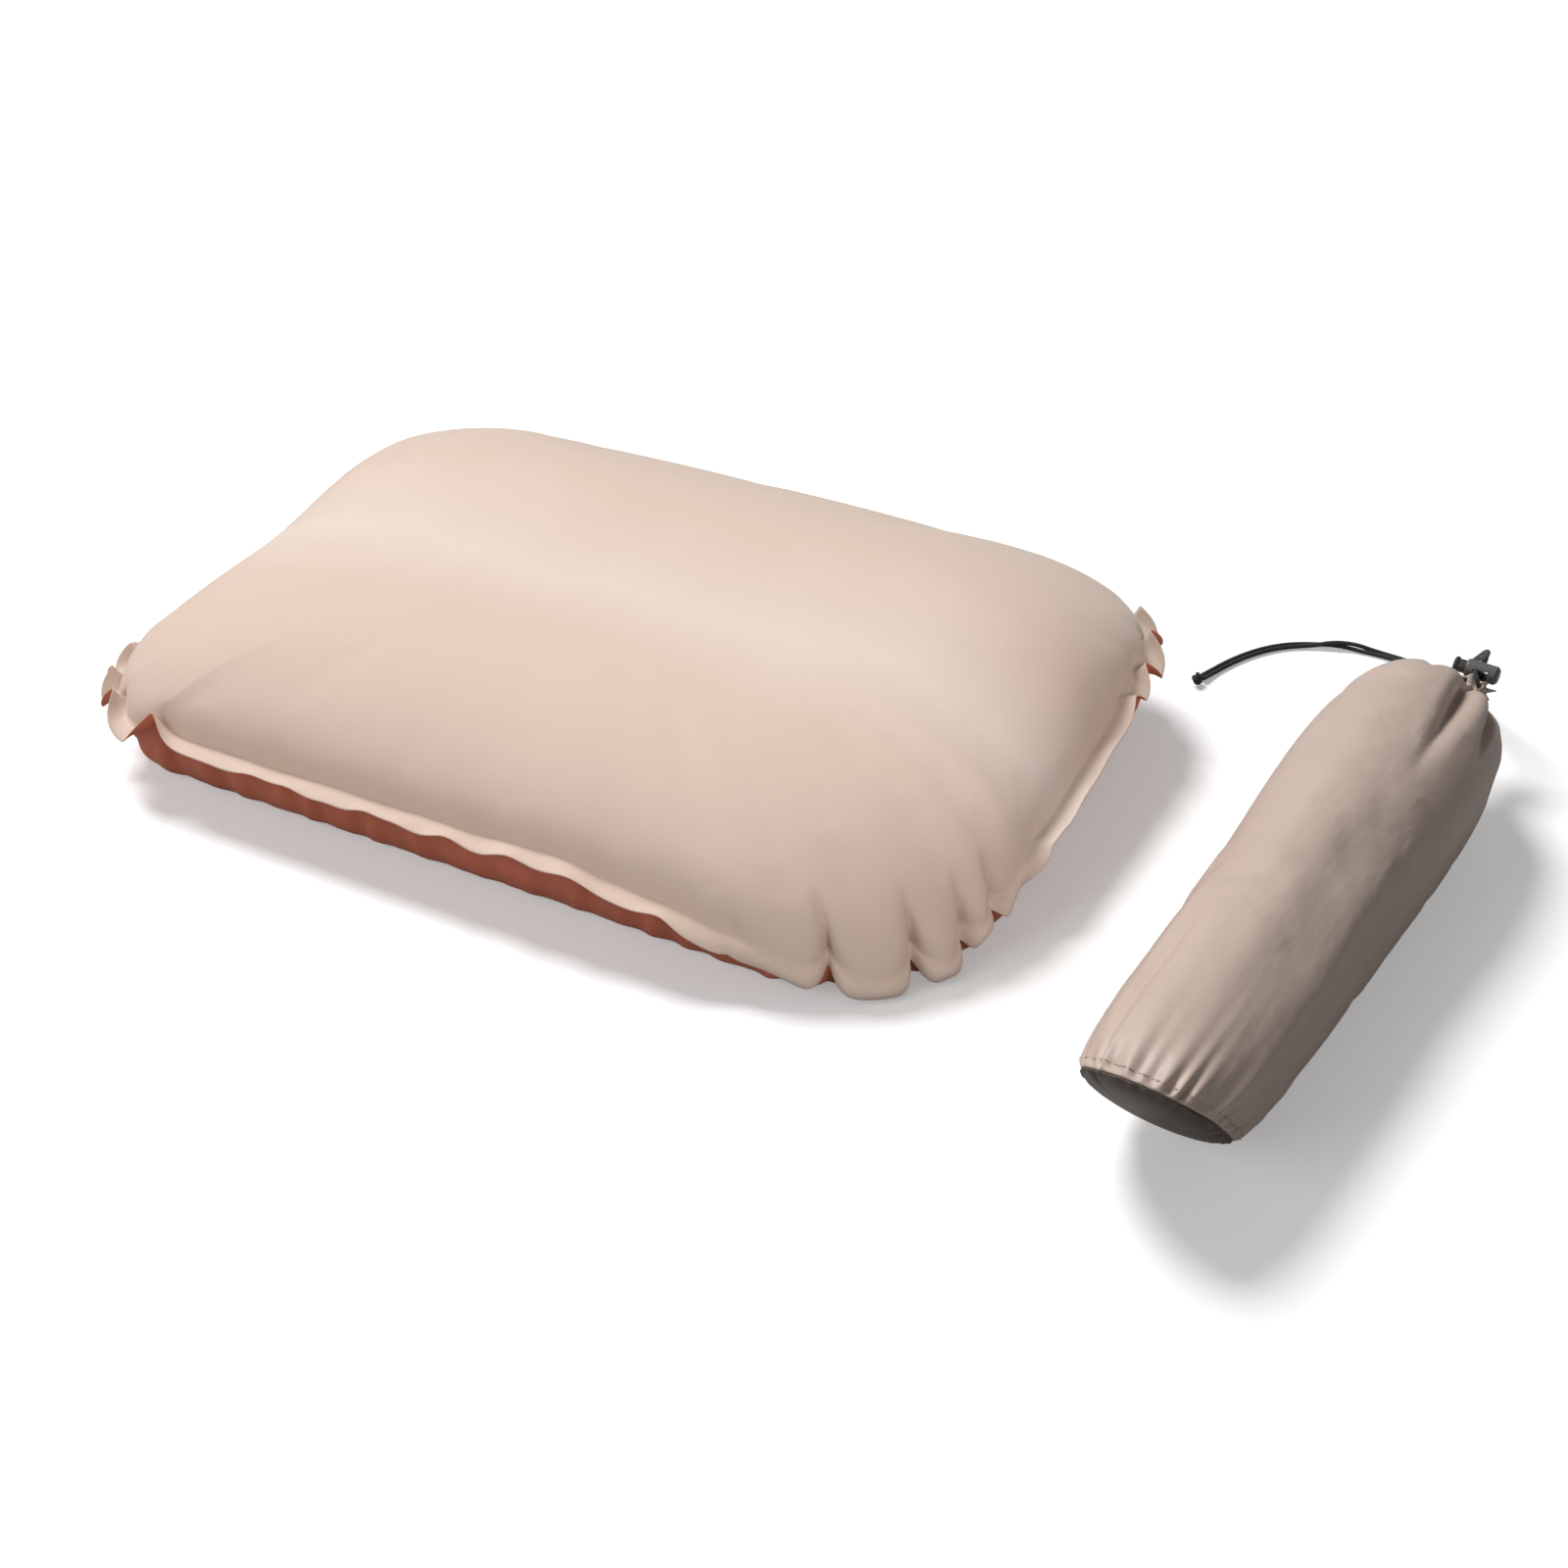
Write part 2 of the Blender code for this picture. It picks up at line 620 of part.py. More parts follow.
def sack_profile():
    """The sack's outer radius at stations along it, from the base seam to the neck's end."""
    base, mouth = SACK_BASE_RADIUS, SACK_MOUTH_RADIUS
    shoulder = SACK_LENGTH - SHOULDER_LENGTH
    neck = NECK_END - SACK_LENGTH
    return (
        (0.0, base * BASE_SEAM_SHARE),
        (0.004, base * 0.96),
        (0.010, sack_axis_height(0.010)),
        (shoulder * 0.5, sack_axis_height(shoulder * 0.5)),
        (shoulder, mouth),
        (shoulder + SHOULDER_LENGTH * 0.6, mouth * 0.985),
        (SACK_LENGTH + neck * 0.10, mouth * 0.91),
        (SACK_LENGTH + neck * 0.40, mouth * 0.68),
        (SACK_LENGTH + neck * 0.62, mouth * 0.42),
        (SACK_LENGTH + neck * 0.80, mouth * 0.25),
        (NECK_END, NECK_RADIUS),
    )


def build_sack_body(sack):
    """The sewn tube of cloth, open at the base seam and at the gathered neck."""
    profile = sack_profile()
    outer = [sack_ring(along, radius) for along, radius in profile]
    inner = [sack_ring(along, radius - SACK_WALL) for along, radius in profile]
    satin = material("taupe_satin", (0.6, 0.48, 0.41), 0.55)
    return loft("sack_body", outer + inner[::-1], satin, sack, wrap=True)


def build_sack_base(sack):
    """The domed disc sewn into the bottom of the sack."""
    rim = SACK_BASE_RADIUS * BASE_SEAM_SHARE
    rings = [[sack_centre(-TOUCH_GAP - BASE_DISC_DOME)]]
    shares = (0.35, 0.65, 0.88, 1.0)
    for share in shares:
        rings.append(sack_ring(-TOUCH_GAP - SACK_WALL - base_dome(share), rim * share))
    for share in reversed(shares):
        rings.append(sack_ring(-TOUCH_GAP - base_dome(share), rim * share))
    rings.append([sack_centre(-TOUCH_GAP - BASE_DISC_DOME + SACK_WALL)])
    return loft("sack_base", rings, material("dark_taupe", (0.08, 0.06, 0.05), 0.7), sack)


def base_dome(share):
    """How far the base disc stands out at a share of its radius."""
    return (BASE_DISC_DOME - SACK_WALL) * (1 - share ** 2)


def sack_centre(along):
    """The point of the sack's middle line at a station."""
    return (sack_axis_across(along), along, sack_axis_height(along))


def build_packed_roll(sack):
    """The tightly rolled pad that fills the sack."""
    slack = SACK_WALL + ROLL_CLEARANCE
    stations = [row for row in sack_profile() if row[0] < SACK_LENGTH + ROLL_OVERRUN]
    rings = [[sack_centre(stations[0][0])]]
    rings += [sack_ring(along, radius - slack) for along, radius in stations]
    rings.append([sack_centre(stations[-1][0])])
    return loft("packed_roll", rings, material("rolled_pad", (0.62, 0.5, 0.43), 0.85), sack)


# ---------------------------------------------------------------- hem, drawcord and knot
def ring_point(angle):
    """A point on the middle line of the hem's channel round the mouth."""
    x, y, z = sack_centre(RING_STATION)
    return Vector((x + HEM_RING_RADIUS * math.cos(angle), y, z + HEM_RING_RADIUS * math.sin(angle)))


def channel_angles(margin, steps=22):
    """Angles round the hem from one side of its opening to the other, set in by a margin in metres."""
    half_gap = math.radians(HEM_OPENING_DEG) / 2 + margin / HEM_RING_RADIUS
    start, end = math.pi / 2 + half_gap, math.pi * 2.5 - half_gap
    return [start + (end - start) * i / steps for i in range(steps + 1)]


def channel_ring(angle, radius, sides=8):
    """A ring of the channel's tube at an angle round the mouth."""
    centre = ring_point(angle)
    outward = Vector((math.cos(angle), 0.0, math.sin(angle)))
    ahead = Vector((0.0, 1.0, 0.0))
    ring = []
    for i in range(sides):
        turn = 2 * math.pi * i / sides
        ring.append(centre + outward * radius * math.cos(turn) + ahead * radius * math.sin(turn))
    return ring


def build_hem(sack):
    """The folded hem that the drawcord runs in, with its opening on top."""
    outer = [channel_ring(angle, HEM_OUTER) for angle in channel_angles(0.0)]
    inner = [channel_ring(angle, HEM_BORE / math.cos(math.pi / 8)) for angle in channel_angles(0.0)]
    finish = material("hem_taupe", (0.58, 0.46, 0.39), 0.6)
    return loft("sack_hem", outer + inner[::-1], finish, sack, wrap=True)


def tube_along(name, points, finish, parent):
    """A plain round cord through the points."""
    curve = bpy.data.curves.new(name, "CURVE")
    curve.dimensions = "3D"
    curve.bevel_depth = CORD_RADIUS
    curve.bevel_resolution = 2
    curve.use_fill_caps = True
    spline = curve.splines.new("POLY")
    spline.points.add(len(points) - 1)
    for target, point in zip(spline.points, points):
        target.co = (*point, 1.0)
    spline.use_smooth = True
    return add_object(name, curve, finish, parent)


def catmull_rom(values, place):
    """A smooth reading of evenly numbered rows of numbers, at a fractional row."""
    index = min(int(place), len(values) - 2)
    share = place - index
    before = values[max(index - 1, 0)]
    start, end = values[index], values[index + 1]
    after = values[min(index + 2, len(values) - 1)]
    result = []
    for p0, p1, p2, p3 in zip(before, start, end, after):
        bend = 2 * p1 + (p2 - p0) * share + (2 * p0 - 5 * p1 + 4 * p2 - p3) * share ** 2
        result.append((bend + (3 * p1 - p0 - 3 * p2 + p3) * share ** 3) / 2)
    return result


def strand_points(side):
    """The middle line of one strand; side is +1 or -1 across the pair."""
    ring_x, ring_y, ring_z = sack_centre(RING_STATION)
    height_shift = ring_z - SACK_MOUTH_RADIUS
    fine = [catmull_rom(CORD_ROUTE, i / 20) for i in range(20 * (len(CORD_ROUTE) - 1) + 1)]
    centres = [Vector((ring_x + row[0], ring_y + row[1], row[2] + height_shift)) for row in fine]
    line = []
    for i, row in enumerate(fine):
        ahead = centres[min(i + 1, len(fine) - 1)] - centres[max(i - 1, 0)]
        across = ahead.cross(Vector((0.0, 0.0, 1.0))).normalized()
        up = across.cross(ahead).normalized()
        roll = math.radians(row[3])
        line.append(centres[i] + (across * math.cos(roll) + up * math.sin(roll)) * side * row[4])
    points = [line[0]]
    travelled = since_last = 0.0
    for start, end in zip(line, line[1:]):
        travelled += (end - start).length
        since_last += (end - start).length
        spacing = LEAD_SPACING if travelled < LEAD_LENGTH else CORD_SPACING
        if since_last >= spacing and (end - line[-1]).length > CORD_SPACING / 2:
            points.append(end)
            since_last = 0.0
    points.append(line[-1])
    return points


def build_drawcord(sack):
    """The cord: its loop in the hem, two free tails and the knot that joins them."""
    black = material("cord_charcoal", (0.027, 0.027, 0.027), 0.8)
    loop = [ring_point(angle) for angle in channel_angles(LOOP_END_INSET, steps=20)]
    tube_along("drawcord_loop", loop, black, sack)
    tube_along("drawcord_tail_a", strand_points(1), black, sack)
    tube_along("drawcord_tail_b", strand_points(-1), black, sack)
    ring_x, ring_y, _ = sack_centre(RING_STATION)
    angles = [math.pi * i / KNOT_STEPS for i in range(1, KNOT_STEPS)]
    profile = [(-KNOT_RADIUS, 0.0)]
    profile += [(-KNOT_RADIUS * math.cos(angle), KNOT_RADIUS * math.sin(angle)) for angle in angles]
    profile.append((KNOT_RADIUS, 0.0))
    place = Matrix.Translation((ring_x + KNOT_ACROSS, ring_y + KNOT_AHEAD, KNOT_RADIUS + TOUCH_GAP))
    finish = material("knot_charcoal", (0.03, 0.03, 0.03), 0.85)
    turned("drawcord_knot", profile, finish, sack, sides=12, turn=place)


# ---------------------------------------------------------------- cord lock, along local X of its empty
def build_cord_lock(sack):
    """The spring lock on the two strands, its button pressed along X to free them."""
    ring_x, ring_y, ring_z = sack_centre(RING_STATION)
    centre = (ring_x, ring_y + LOCK_STANDOFF + LOCK_RADIUS, ring_z + HEM_RING_RADIUS)
    lock = add_empty("lock_axis", centre, parent=sack)
    to_x = Matrix.Rotation(math.pi / 2, 4, "Y")
    slot_end = SLOT_HALF_WIDTH + BUTTON_TRAVEL
    button_end = SLOT_HALF_WIDTH + LOCK_END_WALL
    bore_end = button_end + BUTTON_TRAVEL + SPRING_ROOM
    mouth = -slot_end + TOUCH_GAP
    head_inner = mouth - TOUCH_GAP - BUTTON_TRAVEL
    head_outer = head_inner - BUTTON_HEAD_THICKNESS
    far = bore_end + LOCK_END_WALL

    grey = material("lock_grey", (0.12, 0.118, 0.117), 0.4)
    profile = (
        (mouth, 0.0),
        (mouth, LOCK_RADIUS * LOCK_MOUTH_SHARE),
        (mouth + LOCK_MOUTH_ROUND, LOCK_RADIUS),
        (far - LOCK_TAIL_ROUND, LOCK_RADIUS),
        (far, LOCK_RADIUS * LOCK_TAIL_SHARE),
        (far, 0.0),
    )
    outer = turned("lock_barrel", profile, grey, lock, sides=28, turn=to_x)
    before_mouth = mouth - LOCK_WALL
    bore_profile = ((before_mouth, 0.0), (before_mouth, LOCK_BORE), (bore_end, LOCK_BORE), (bore_end, 0.0))
    bore = turned("lock_bore", bore_profile, grey, lock, sides=28, turn=to_x)
    boolean(outer, as_guide(bore), "DIFFERENCE")
    reach = LOCK_RADIUS + LOCK_WALL
    slot_low = (-SLOT_HALF_WIDTH, -reach, -SLOT_HALF_HEIGHT)
    slot = cutter("lock_slot", slot_low, (slot_end, reach, SLOT_HALF_HEIGHT), lock)
    boolean(outer, slot, "DIFFERENCE")

    dark = material("button_black", (0.04, 0.04, 0.04), 0.45)
    button_profile = (
        (head_outer, 0.0),
        (head_outer, BUTTON_HEAD_RADIUS * BUTTON_EDGE_SHARE),
        (head_outer + BUTTON_EDGE_ROUND, BUTTON_HEAD_RADIUS),
        (head_inner, BUTTON_HEAD_RADIUS),
        (head_inner, BUTTON_RADIUS),
        (button_end, BUTTON_RADIUS),
        (button_end, 0.0),
    )
    button = turned("lock_button", button_profile, dark, lock, sides=24, turn=to_x)
    window_high = (SLOT_HALF_WIDTH, reach, SLOT_HALF_HEIGHT)
    window = cutter("button_slot", (-slot_end, -reach, -SLOT_HALF_HEIGHT), window_high, lock)
    boolean(button, window, "DIFFERENCE")
    build_lock_spring(lock, button_end + TOUCH_GAP, bore_end - TOUCH_GAP, to_x)


def build_lock_spring(lock, start, end, to_x):
    """The coil spring between the button and the closed end of the barrel."""
    mean_radius = BUTTON_RADIUS - 2 * SPRING_WIRE_RADIUS
    low, high = start + SPRING_WIRE_RADIUS, end - SPRING_WIRE_RADIUS
    along = Vector((0.0, 0.0, 1.0))
    steps = SPRING_TURNS * SPRING_STEPS
    rings = []
    for i in range(steps + 1):
        angle = 2 * math.pi * SPRING_TURNS * i / steps
        outward = Vector((math.cos(angle), math.sin(angle), 0.0))
        centre = outward * mean_radius + along * (low + (high - low) * i / steps)
        ring = []
        for j in range(SPRING_SIDES):
            turn = 2 * math.pi * j / SPRING_SIDES
            aside = outward * math.cos(turn) + along * math.sin(turn)
            ring.append(centre + aside * SPRING_WIRE_RADIUS)
        rings.append(ring)
    loft("lock_spring", rings, material("spring_steel", (0.6, 0.6, 0.6), 0.3, 1.0), lock, turn=to_x)


# ---------------------------------------------------------------- the whole model
def main():
    for old in list(bpy.data.objects):
        bpy.data.objects.remove(old, do_unlink=True)

    valve_place = (VALVE_X, plan_edge_y(VALVE_X) + FLANGE_WIDTH, SEAM_HEIGHT)
    valve = add_empty("valve_axis", valve_place, (-math.pi / 2, 0.0, 0.0))
    build_top_shell()
    build_bottom_shell()
    build_foam_core(valve)
    build_valve_stem(valve)
    build_strainer(valve)
    build_plunger(valve)
    build_cap(valve)

    sack_turn = (0.0, 0.0, math.radians(SACK_TURN_DEG))
    sack = add_empty("sack_axis", (SACK_FLOOR_X, SACK_FLOOR_Y, 0.0), sack_turn)
    build_sack_body(sack)
    build_sack_base(sack)
    build_packed_roll(sack)
    build_hem(sack)
    build_drawcord(sack)
    build_cord_lock(sack)


main()
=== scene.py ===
"""Looks of a two-lobed self-inflating camp pillow and its filled stuff sack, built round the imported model.

Frame, in metres: +Z up, X along the pillow's length, the tall back lobe towards +Y. The origin is the
centre of the pillow's flat base.
"""
import math

import bpy
import numpy as np
from mathutils import Matrix, Vector
from mathutils.kdtree import KDTree


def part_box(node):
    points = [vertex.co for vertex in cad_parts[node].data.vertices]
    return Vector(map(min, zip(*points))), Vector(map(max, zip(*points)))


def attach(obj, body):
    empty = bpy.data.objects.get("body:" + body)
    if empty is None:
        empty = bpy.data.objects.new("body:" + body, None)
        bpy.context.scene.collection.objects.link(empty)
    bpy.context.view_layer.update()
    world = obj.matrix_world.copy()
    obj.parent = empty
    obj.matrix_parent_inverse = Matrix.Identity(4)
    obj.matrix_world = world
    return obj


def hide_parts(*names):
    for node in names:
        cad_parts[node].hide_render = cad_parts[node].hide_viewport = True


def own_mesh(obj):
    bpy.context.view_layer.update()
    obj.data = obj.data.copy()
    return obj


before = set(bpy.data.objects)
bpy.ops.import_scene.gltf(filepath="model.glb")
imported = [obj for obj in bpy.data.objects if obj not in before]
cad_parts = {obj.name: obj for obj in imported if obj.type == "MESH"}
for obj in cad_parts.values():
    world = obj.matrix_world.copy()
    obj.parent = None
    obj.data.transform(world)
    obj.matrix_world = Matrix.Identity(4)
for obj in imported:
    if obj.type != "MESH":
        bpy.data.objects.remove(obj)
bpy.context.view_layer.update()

TAU = 2 * math.pi

# ---------------------------------------------------------------- camera
EYE = Vector((0.46649, -0.75224, 0.60572))
AIM = Vector((0.0840, -0.0080, 0.0))
LENS = 49.6
SENSOR = 36.0

# ---------------------------------------------------------------- pillow
HALF_LENGTH = 0.2225
HALF_WIDTH = 0.1470
FLANGE = 0.0095
FILM = 0.00045
WELD_DIP = 0.10
DOME_POWER = 4.5
PLAN_POWER = 2.8
COVER_MIDDLE = 0.0340
BASE_INSET = 0.0165
VALVE_X = -0.160
BOAT_REACH = 0.0200
BOAT_HEIGHT = 0.0070
CORNER_RADII = (0.056, 0.060, 0.050, 0.092)
CORNER_NAMES = ("back_right", "back_left", "front_left", "front_right")

# Folds gathered at each corner: place along the seam from the corner's middle (counter-clockwise seen from
# above), depth of its groove in the dome, how far it lifts the seam, how far up the dome the groove runs, and
# how many degrees the flange curls up there.
FOLDS = {
    "back_right": ((-0.066, 0.0022, 0.002, 0.016, 22), (-0.046, 0.0034, 0.004, 0.020, 46),
                   (-0.022, 0.0040, 0.005, 0.021, 58), (0.002, 0.0034, 0.004, 0.018, 46),
                   (0.030, 0.0022, 0.003, 0.016, 30)),
    "back_left": ((0.000, 0.0034, 0.004, 0.020, 48), (0.028, 0.0030, 0.003, 0.018, 44)),
    "front_left": ((-0.034, 0.0022, 0.003, 0.016, 44), (-0.014, 0.0030, 0.004, 0.018, 50),
                   (0.006, 0.0034, 0.004, 0.018, 52), (0.040, 0.0032, 0.005, 0.016, 58)),
    "front_right": ((-0.072, 0.0012, 0.001, 0.015, 14), (-0.030, 0.0120, 0.0060, 0.032, 22),
                    (0.009, 0.0130, 0.0070, 0.034, 22), (0.034, 0.0110, 0.0062, 0.031, 30),
                    (0.051, 0.0094, 0.0050, 0.026, 46), (0.088, 0.0012, 0.001, 0.015, 14)),
}
# Degrees of the flange above level: along the sides, along the right side, and at each corner.
SIDE_TILT = -6.0
RIGHT_TILT = 7.0
FLANGE_TILT = {"back_right": -2, "back_left": -4, "front_left": -4, "front_right": -88}
GROOVE_WIDTH = {"back_right": 0.0056, "back_left": 0.0056, "front_left": 0.0050, "front_right": 0.0030}

# Height of the seam round the pillow: (corner, place along the seam from its middle, height).
SEAM_HEIGHTS = (
    ("back_right", -0.099, 0.0400), ("back_right", -0.058, 0.0440), ("back_right", 0.000, 0.046),
    ("back_right", 0.090, 0.038), ("back_left", -0.120, 0.034), ("back_left", -0.020, 0.034),
    ("back_left", 0.060, 0.036), ("front_left", -0.110, 0.035), ("front_left", 0.000, 0.033),
    ("front_left", 0.060, 0.0350), ("front_right", -0.200, 0.0365), ("front_right", -0.160, 0.0385),
    ("front_right", -0.110, 0.0325), ("front_right", -0.070, 0.0265), ("front_right", -0.035, 0.0160),
    ("front_right", -0.008, 0.0112), ("front_right", 0.026, 0.0112), ("front_right", 0.050, 0.0225),
    ("front_right", 0.075, 0.0345), ("front_right", 0.104, 0.0350),
)

# ---------------------------------------------------------------- stuff sack and cord
SACK_PLACE = Matrix.Translation((0.3238, -0.1705, 0.0)) @ Matrix.Rotation(math.radians(-5.9), 4, "Z")
SACK_LENGTH = 0.2852
BASE_RADIUS = 0.0362
MOUTH_RADIUS = 0.0412
HEM_HEIGHT = 0.0450
SHOULDER = 0.0220
NECK = 0.0360
MOUTH_OFFSET = 0.0080
BASE_SLANT = math.tan(math.radians(38.0))
SLANT_FADE = 0.130
RING_STATION = SACK_LENGTH + NECK
HEM_RING = 0.0070
HEM_TUBE = 0.0021
CORD_DIAMETER = 0.0022
BRAID_PITCH = 0.0022
LOCK_TURN = math.radians(-5.9)
BUTTON_TRAVEL = 0.0040
SPRING_WIRE = 0.00025
SPRING_TURNS = 3
SPRING_STEPS = 60
PAIR_HALF = 0.00125
KNOT_PLACE = (-0.1339, 0.0032)
KNOT_RADIUS = 0.0034
KNOT_SCALE = 0.00080
KNOT_CORD_RADIUS = 0.00105
HEM_OPENING = 49.5
# The pair of free strands from the hem to the knot: across, along and up from the mouth, the turn of the pair
# about its own line in degrees, and half the gap between the strands' middles.
CORD_ROUTE = (
    (0.0000, 0.0000, 0.0503, 0, 0.00459),
    (0.0000, 0.0010, 0.0513, 8, 0.00340),
    (0.0000, 0.0033, 0.0520, 50, 0.00190),
    (0.0000, 0.0060, 0.0520, 90, PAIR_HALF),
    (0.0000, 0.0130, 0.0520, 90, PAIR_HALF),
    (0.0000, 0.0215, 0.0520, 90, PAIR_HALF),
    (-0.0012, 0.0295, 0.0502, 80, PAIR_HALF),
    (-0.0046, 0.0380, 0.0447, 65, PAIR_HALF),
    (-0.0095, 0.0470, 0.0355, 50, PAIR_HALF),
    (-0.0155, 0.0560, 0.0250, 35, PAIR_HALF),
    (-0.0230, 0.0645, 0.0150, 20, PAIR_HALF),
    (-0.0325, 0.0720, 0.0075, 10, PAIR_HALF),
    (-0.0440, 0.0775, 0.0032, 2, PAIR_HALF),
    (-0.0560, 0.0800, 0.0016, 0, PAIR_HALF),
    (-0.0690, 0.0795, 0.0016, 15, PAIR_HALF),
    (-0.0800, 0.0770, 0.0027, 75, PAIR_HALF),
    (-0.0890, 0.0738, 0.0027, 115, PAIR_HALF),
    (-0.0985, 0.0690, 0.0016, 165, PAIR_HALF),
    (-0.1080, 0.0620, 0.0014, 180, PAIR_HALF),
    (-0.1160, 0.0530, 0.0014, 180, PAIR_HALF),
    (-0.1225, 0.0420, 0.0014, 180, PAIR_HALF),
    (-0.1275, 0.0300, 0.0014, 180, PAIR_HALF),
    (-0.1310, 0.0180, 0.0016, 180, PAIR_HALF),
    (-0.1332, 0.0072, 0.0026, 180, PAIR_HALF),
)


# ---------------------------------------------------------------- finishes
class Value:
    """A shader socket that Python's operators work on."""

    def __init__(self, finish, socket):
        self.finish, self.socket = finish, socket

    def __add__(self, other):
        return self.finish.maths("ADD", self, other)

    def __sub__(self, other):
        return self.finish.maths("SUBTRACT", self, other)

    def __mul__(self, other):
        return self.finish.maths("MULTIPLY", self, other)


class Finish:
    """A Principled material whose pattern is written as expressions."""

    def __init__(self, name, **constants):
        self.material = bpy.data.materials.new(name)
        self.material.use_nodes = True
        self.tree = self.material.node_tree
        self.shader = self.tree.nodes["Principled BSDF"]
        for key, value in constants.items():
            self.shader.inputs[key.replace("_", " ")].default_value = value

    def node(self, kind, settings=(), output=0, **inputs):
        """A node of any kind: its settings first, then its sockets by name, or by number as in_0."""
        made = self.tree.nodes.new("ShaderNode" + kind)
        for key, value in dict(settings).items():
            if key == "stops":
                while len(made.color_ramp.elements) < len(value):
                    made.color_ramp.elements.new(0.5)
                for element, (place, colour) in zip(made.color_ramp.elements, value):
                    element.position, element.color = place, colour
            else:
                setattr(made, key, value)
        for key, value in inputs.items():
            socket = made.inputs[int(key[3:])] if key.startswith("in_") else made.inputs[key.replace("_", " ")]
            self.feed(socket, value)
        return Value(self, made.outputs[output])

    def feed(self, socket, value):
        """Link a value to a socket, or set the socket."""
        if isinstance(value, Value):
            self.tree.links.new(value.socket, socket)
        else:
            socket.default_value = value

    def maths(self, operation, a, b=0.0):
        return self.node("Math", {"operation": operation}, in_0=a, in_1=b)

    def sine(self, angle):
        return self.maths("SINE", angle)

    def object_point(self, scale=(1.0, 1.0, 1.0)):
        """Object coordinates, scaled."""
        return self.node("Mapping", Vector=self.node("TexCoord", output=3), Scale=scale)

    def cloth_point(self):
        """The piece's own UV map, in metres, as separate along and across values."""
        point = self.node("UVMap", {"uv_map": "cloth"})
        return self.part(point, 0), self.part(point, 1)

    def part(self, point, axis):
        """One coordinate of a point."""
        return self.node("SeparateXYZ", output=axis, in_0=point)

    def noise(self, point, scale, detail=2.0, roughness=0.5):
        return self.node("TexNoise", Vector=point, Scale=scale, Detail=detail, Roughness=roughness)

    def blend(self, factor, a, b):
        """A colour between two colours."""
        settings = {"data_type": "RGBA", "clamp_factor": True}
        return self.node("Mix", settings, output=2, in_0=factor, in_6=a, in_7=b)

    def colour(self, value):
        self.feed(self.shader.inputs["Base Color"], value)

    def roughness(self, value):
        self.feed(self.shader.inputs["Roughness"], value)

    def bump(self, height, distance, strength=1.0):
        normal = self.node("Bump", Height=height, Distance=distance, Strength=strength)
        self.feed(self.shader.inputs["Normal"], normal)


def shade(colour, gain=1.0):
    return (colour[0] * gain, colour[1] * gain, colour[2] * gain, 1.0)


def knit_finish():
    """Fine brushed knit of the top film: tiny wales and courses, heathered fibres, faint blush patches, and bands
    across the pillow's depth painted paler along the valley and darker on the lobes' slopes and the far back:
    painted highlight and painted shade.
    """
    finish = Finish("brushed_knit", Roughness=0.86, Sheen_Weight=0.25, Sheen_Roughness=0.45,
                    Sheen_Tint=(1.0, 0.93, 0.88, 1.0), Specular_IOR_Level=0.22)
    along, across = finish.cloth_point()
    wales = finish.sine(along * (TAU / 0.00085))
    courses = finish.sine(across * (TAU / 0.00070))
    knit = wales * courses * 0.5 + 0.5
    point = finish.object_point()
    fibres = finish.noise(point, 1500.0, 3.0, 0.7)
    patches = finish.noise(point, 9.0, 3.0, 0.55)
    # Bands across the pillow's depth are painted by y: the pale stop is a painted highlight along the valley
    # between the lobes, the blush stops are painted shade on the front lobe and the back lobe's front slope, and
    # the darker sand stop is painted shade over the far back. Random blush patches shift the bands.
    place = finish.part(point, 1) * 3.1 + patches * 0.22 + 0.40
    blush_and_painted_light_bands = finish.node("ValToRGB", {"stops": (
        (0.10, shade(KNIT_BLUSH_AND_SHADE, 0.93)), (0.32, shade(KNIT_BLUSH_AND_SHADE)), (0.47, shade(KNIT_PAINTED_HIGHLIGHT)),
        (0.66, shade(KNIT_BLUSH_AND_SHADE, 0.96)), (0.88, shade(KNIT_SAND, 0.88)))}, in_0=place)
    base = finish.blend(0.7, shade(KNIT_SAND), blush_and_painted_light_bands)
    heather = fibres * 0.7 + knit * 0.3
    finish.colour(finish.blend(heather * 0.22, base, shade(KNIT_SAND, 0.72)))
    finish.roughness(heather * 0.10 + 0.80)
    finish.bump(knit * 0.6 + fibres * 0.7, 0.00012, 0.6)
    return finish.material


def weave_finish():
    """Rust plain weave of the base film, with a faint ripstop check and worn creases."""
    finish = Finish("rust_plain_weave", Roughness=0.62, Sheen_Weight=0.12, Sheen_Roughness=0.4,
                    Sheen_Tint=(1.0, 0.6, 0.45, 1.0), Specular_IOR_Level=0.35)
    along, across = finish.cloth_point()
    warp = finish.sine(along * (TAU / 0.0009))
    weft = finish.sine(across * (TAU / 0.0009))
    weave = warp * weft * 0.5 + 0.5
    point = finish.object_point()
    slubs = finish.noise(finish.object_point((300.0, 60.0, 300.0)), 3.0, 3.0, 0.6)
    patches = finish.noise(point, 22.0, 3.0, 0.6)
    base = finish.blend(patches, shade(RUST, 0.80), shade(RUST, 1.22))
    finish.colour(finish.blend(weave * 0.25 + slubs * 0.15, base, shade(RUST, 0.60)))
    finish.roughness(patches * 0.14 + 0.55)
    finish.bump(weave * 0.7 + slubs * 0.4, 0.00015, 0.7)
    return finish.material


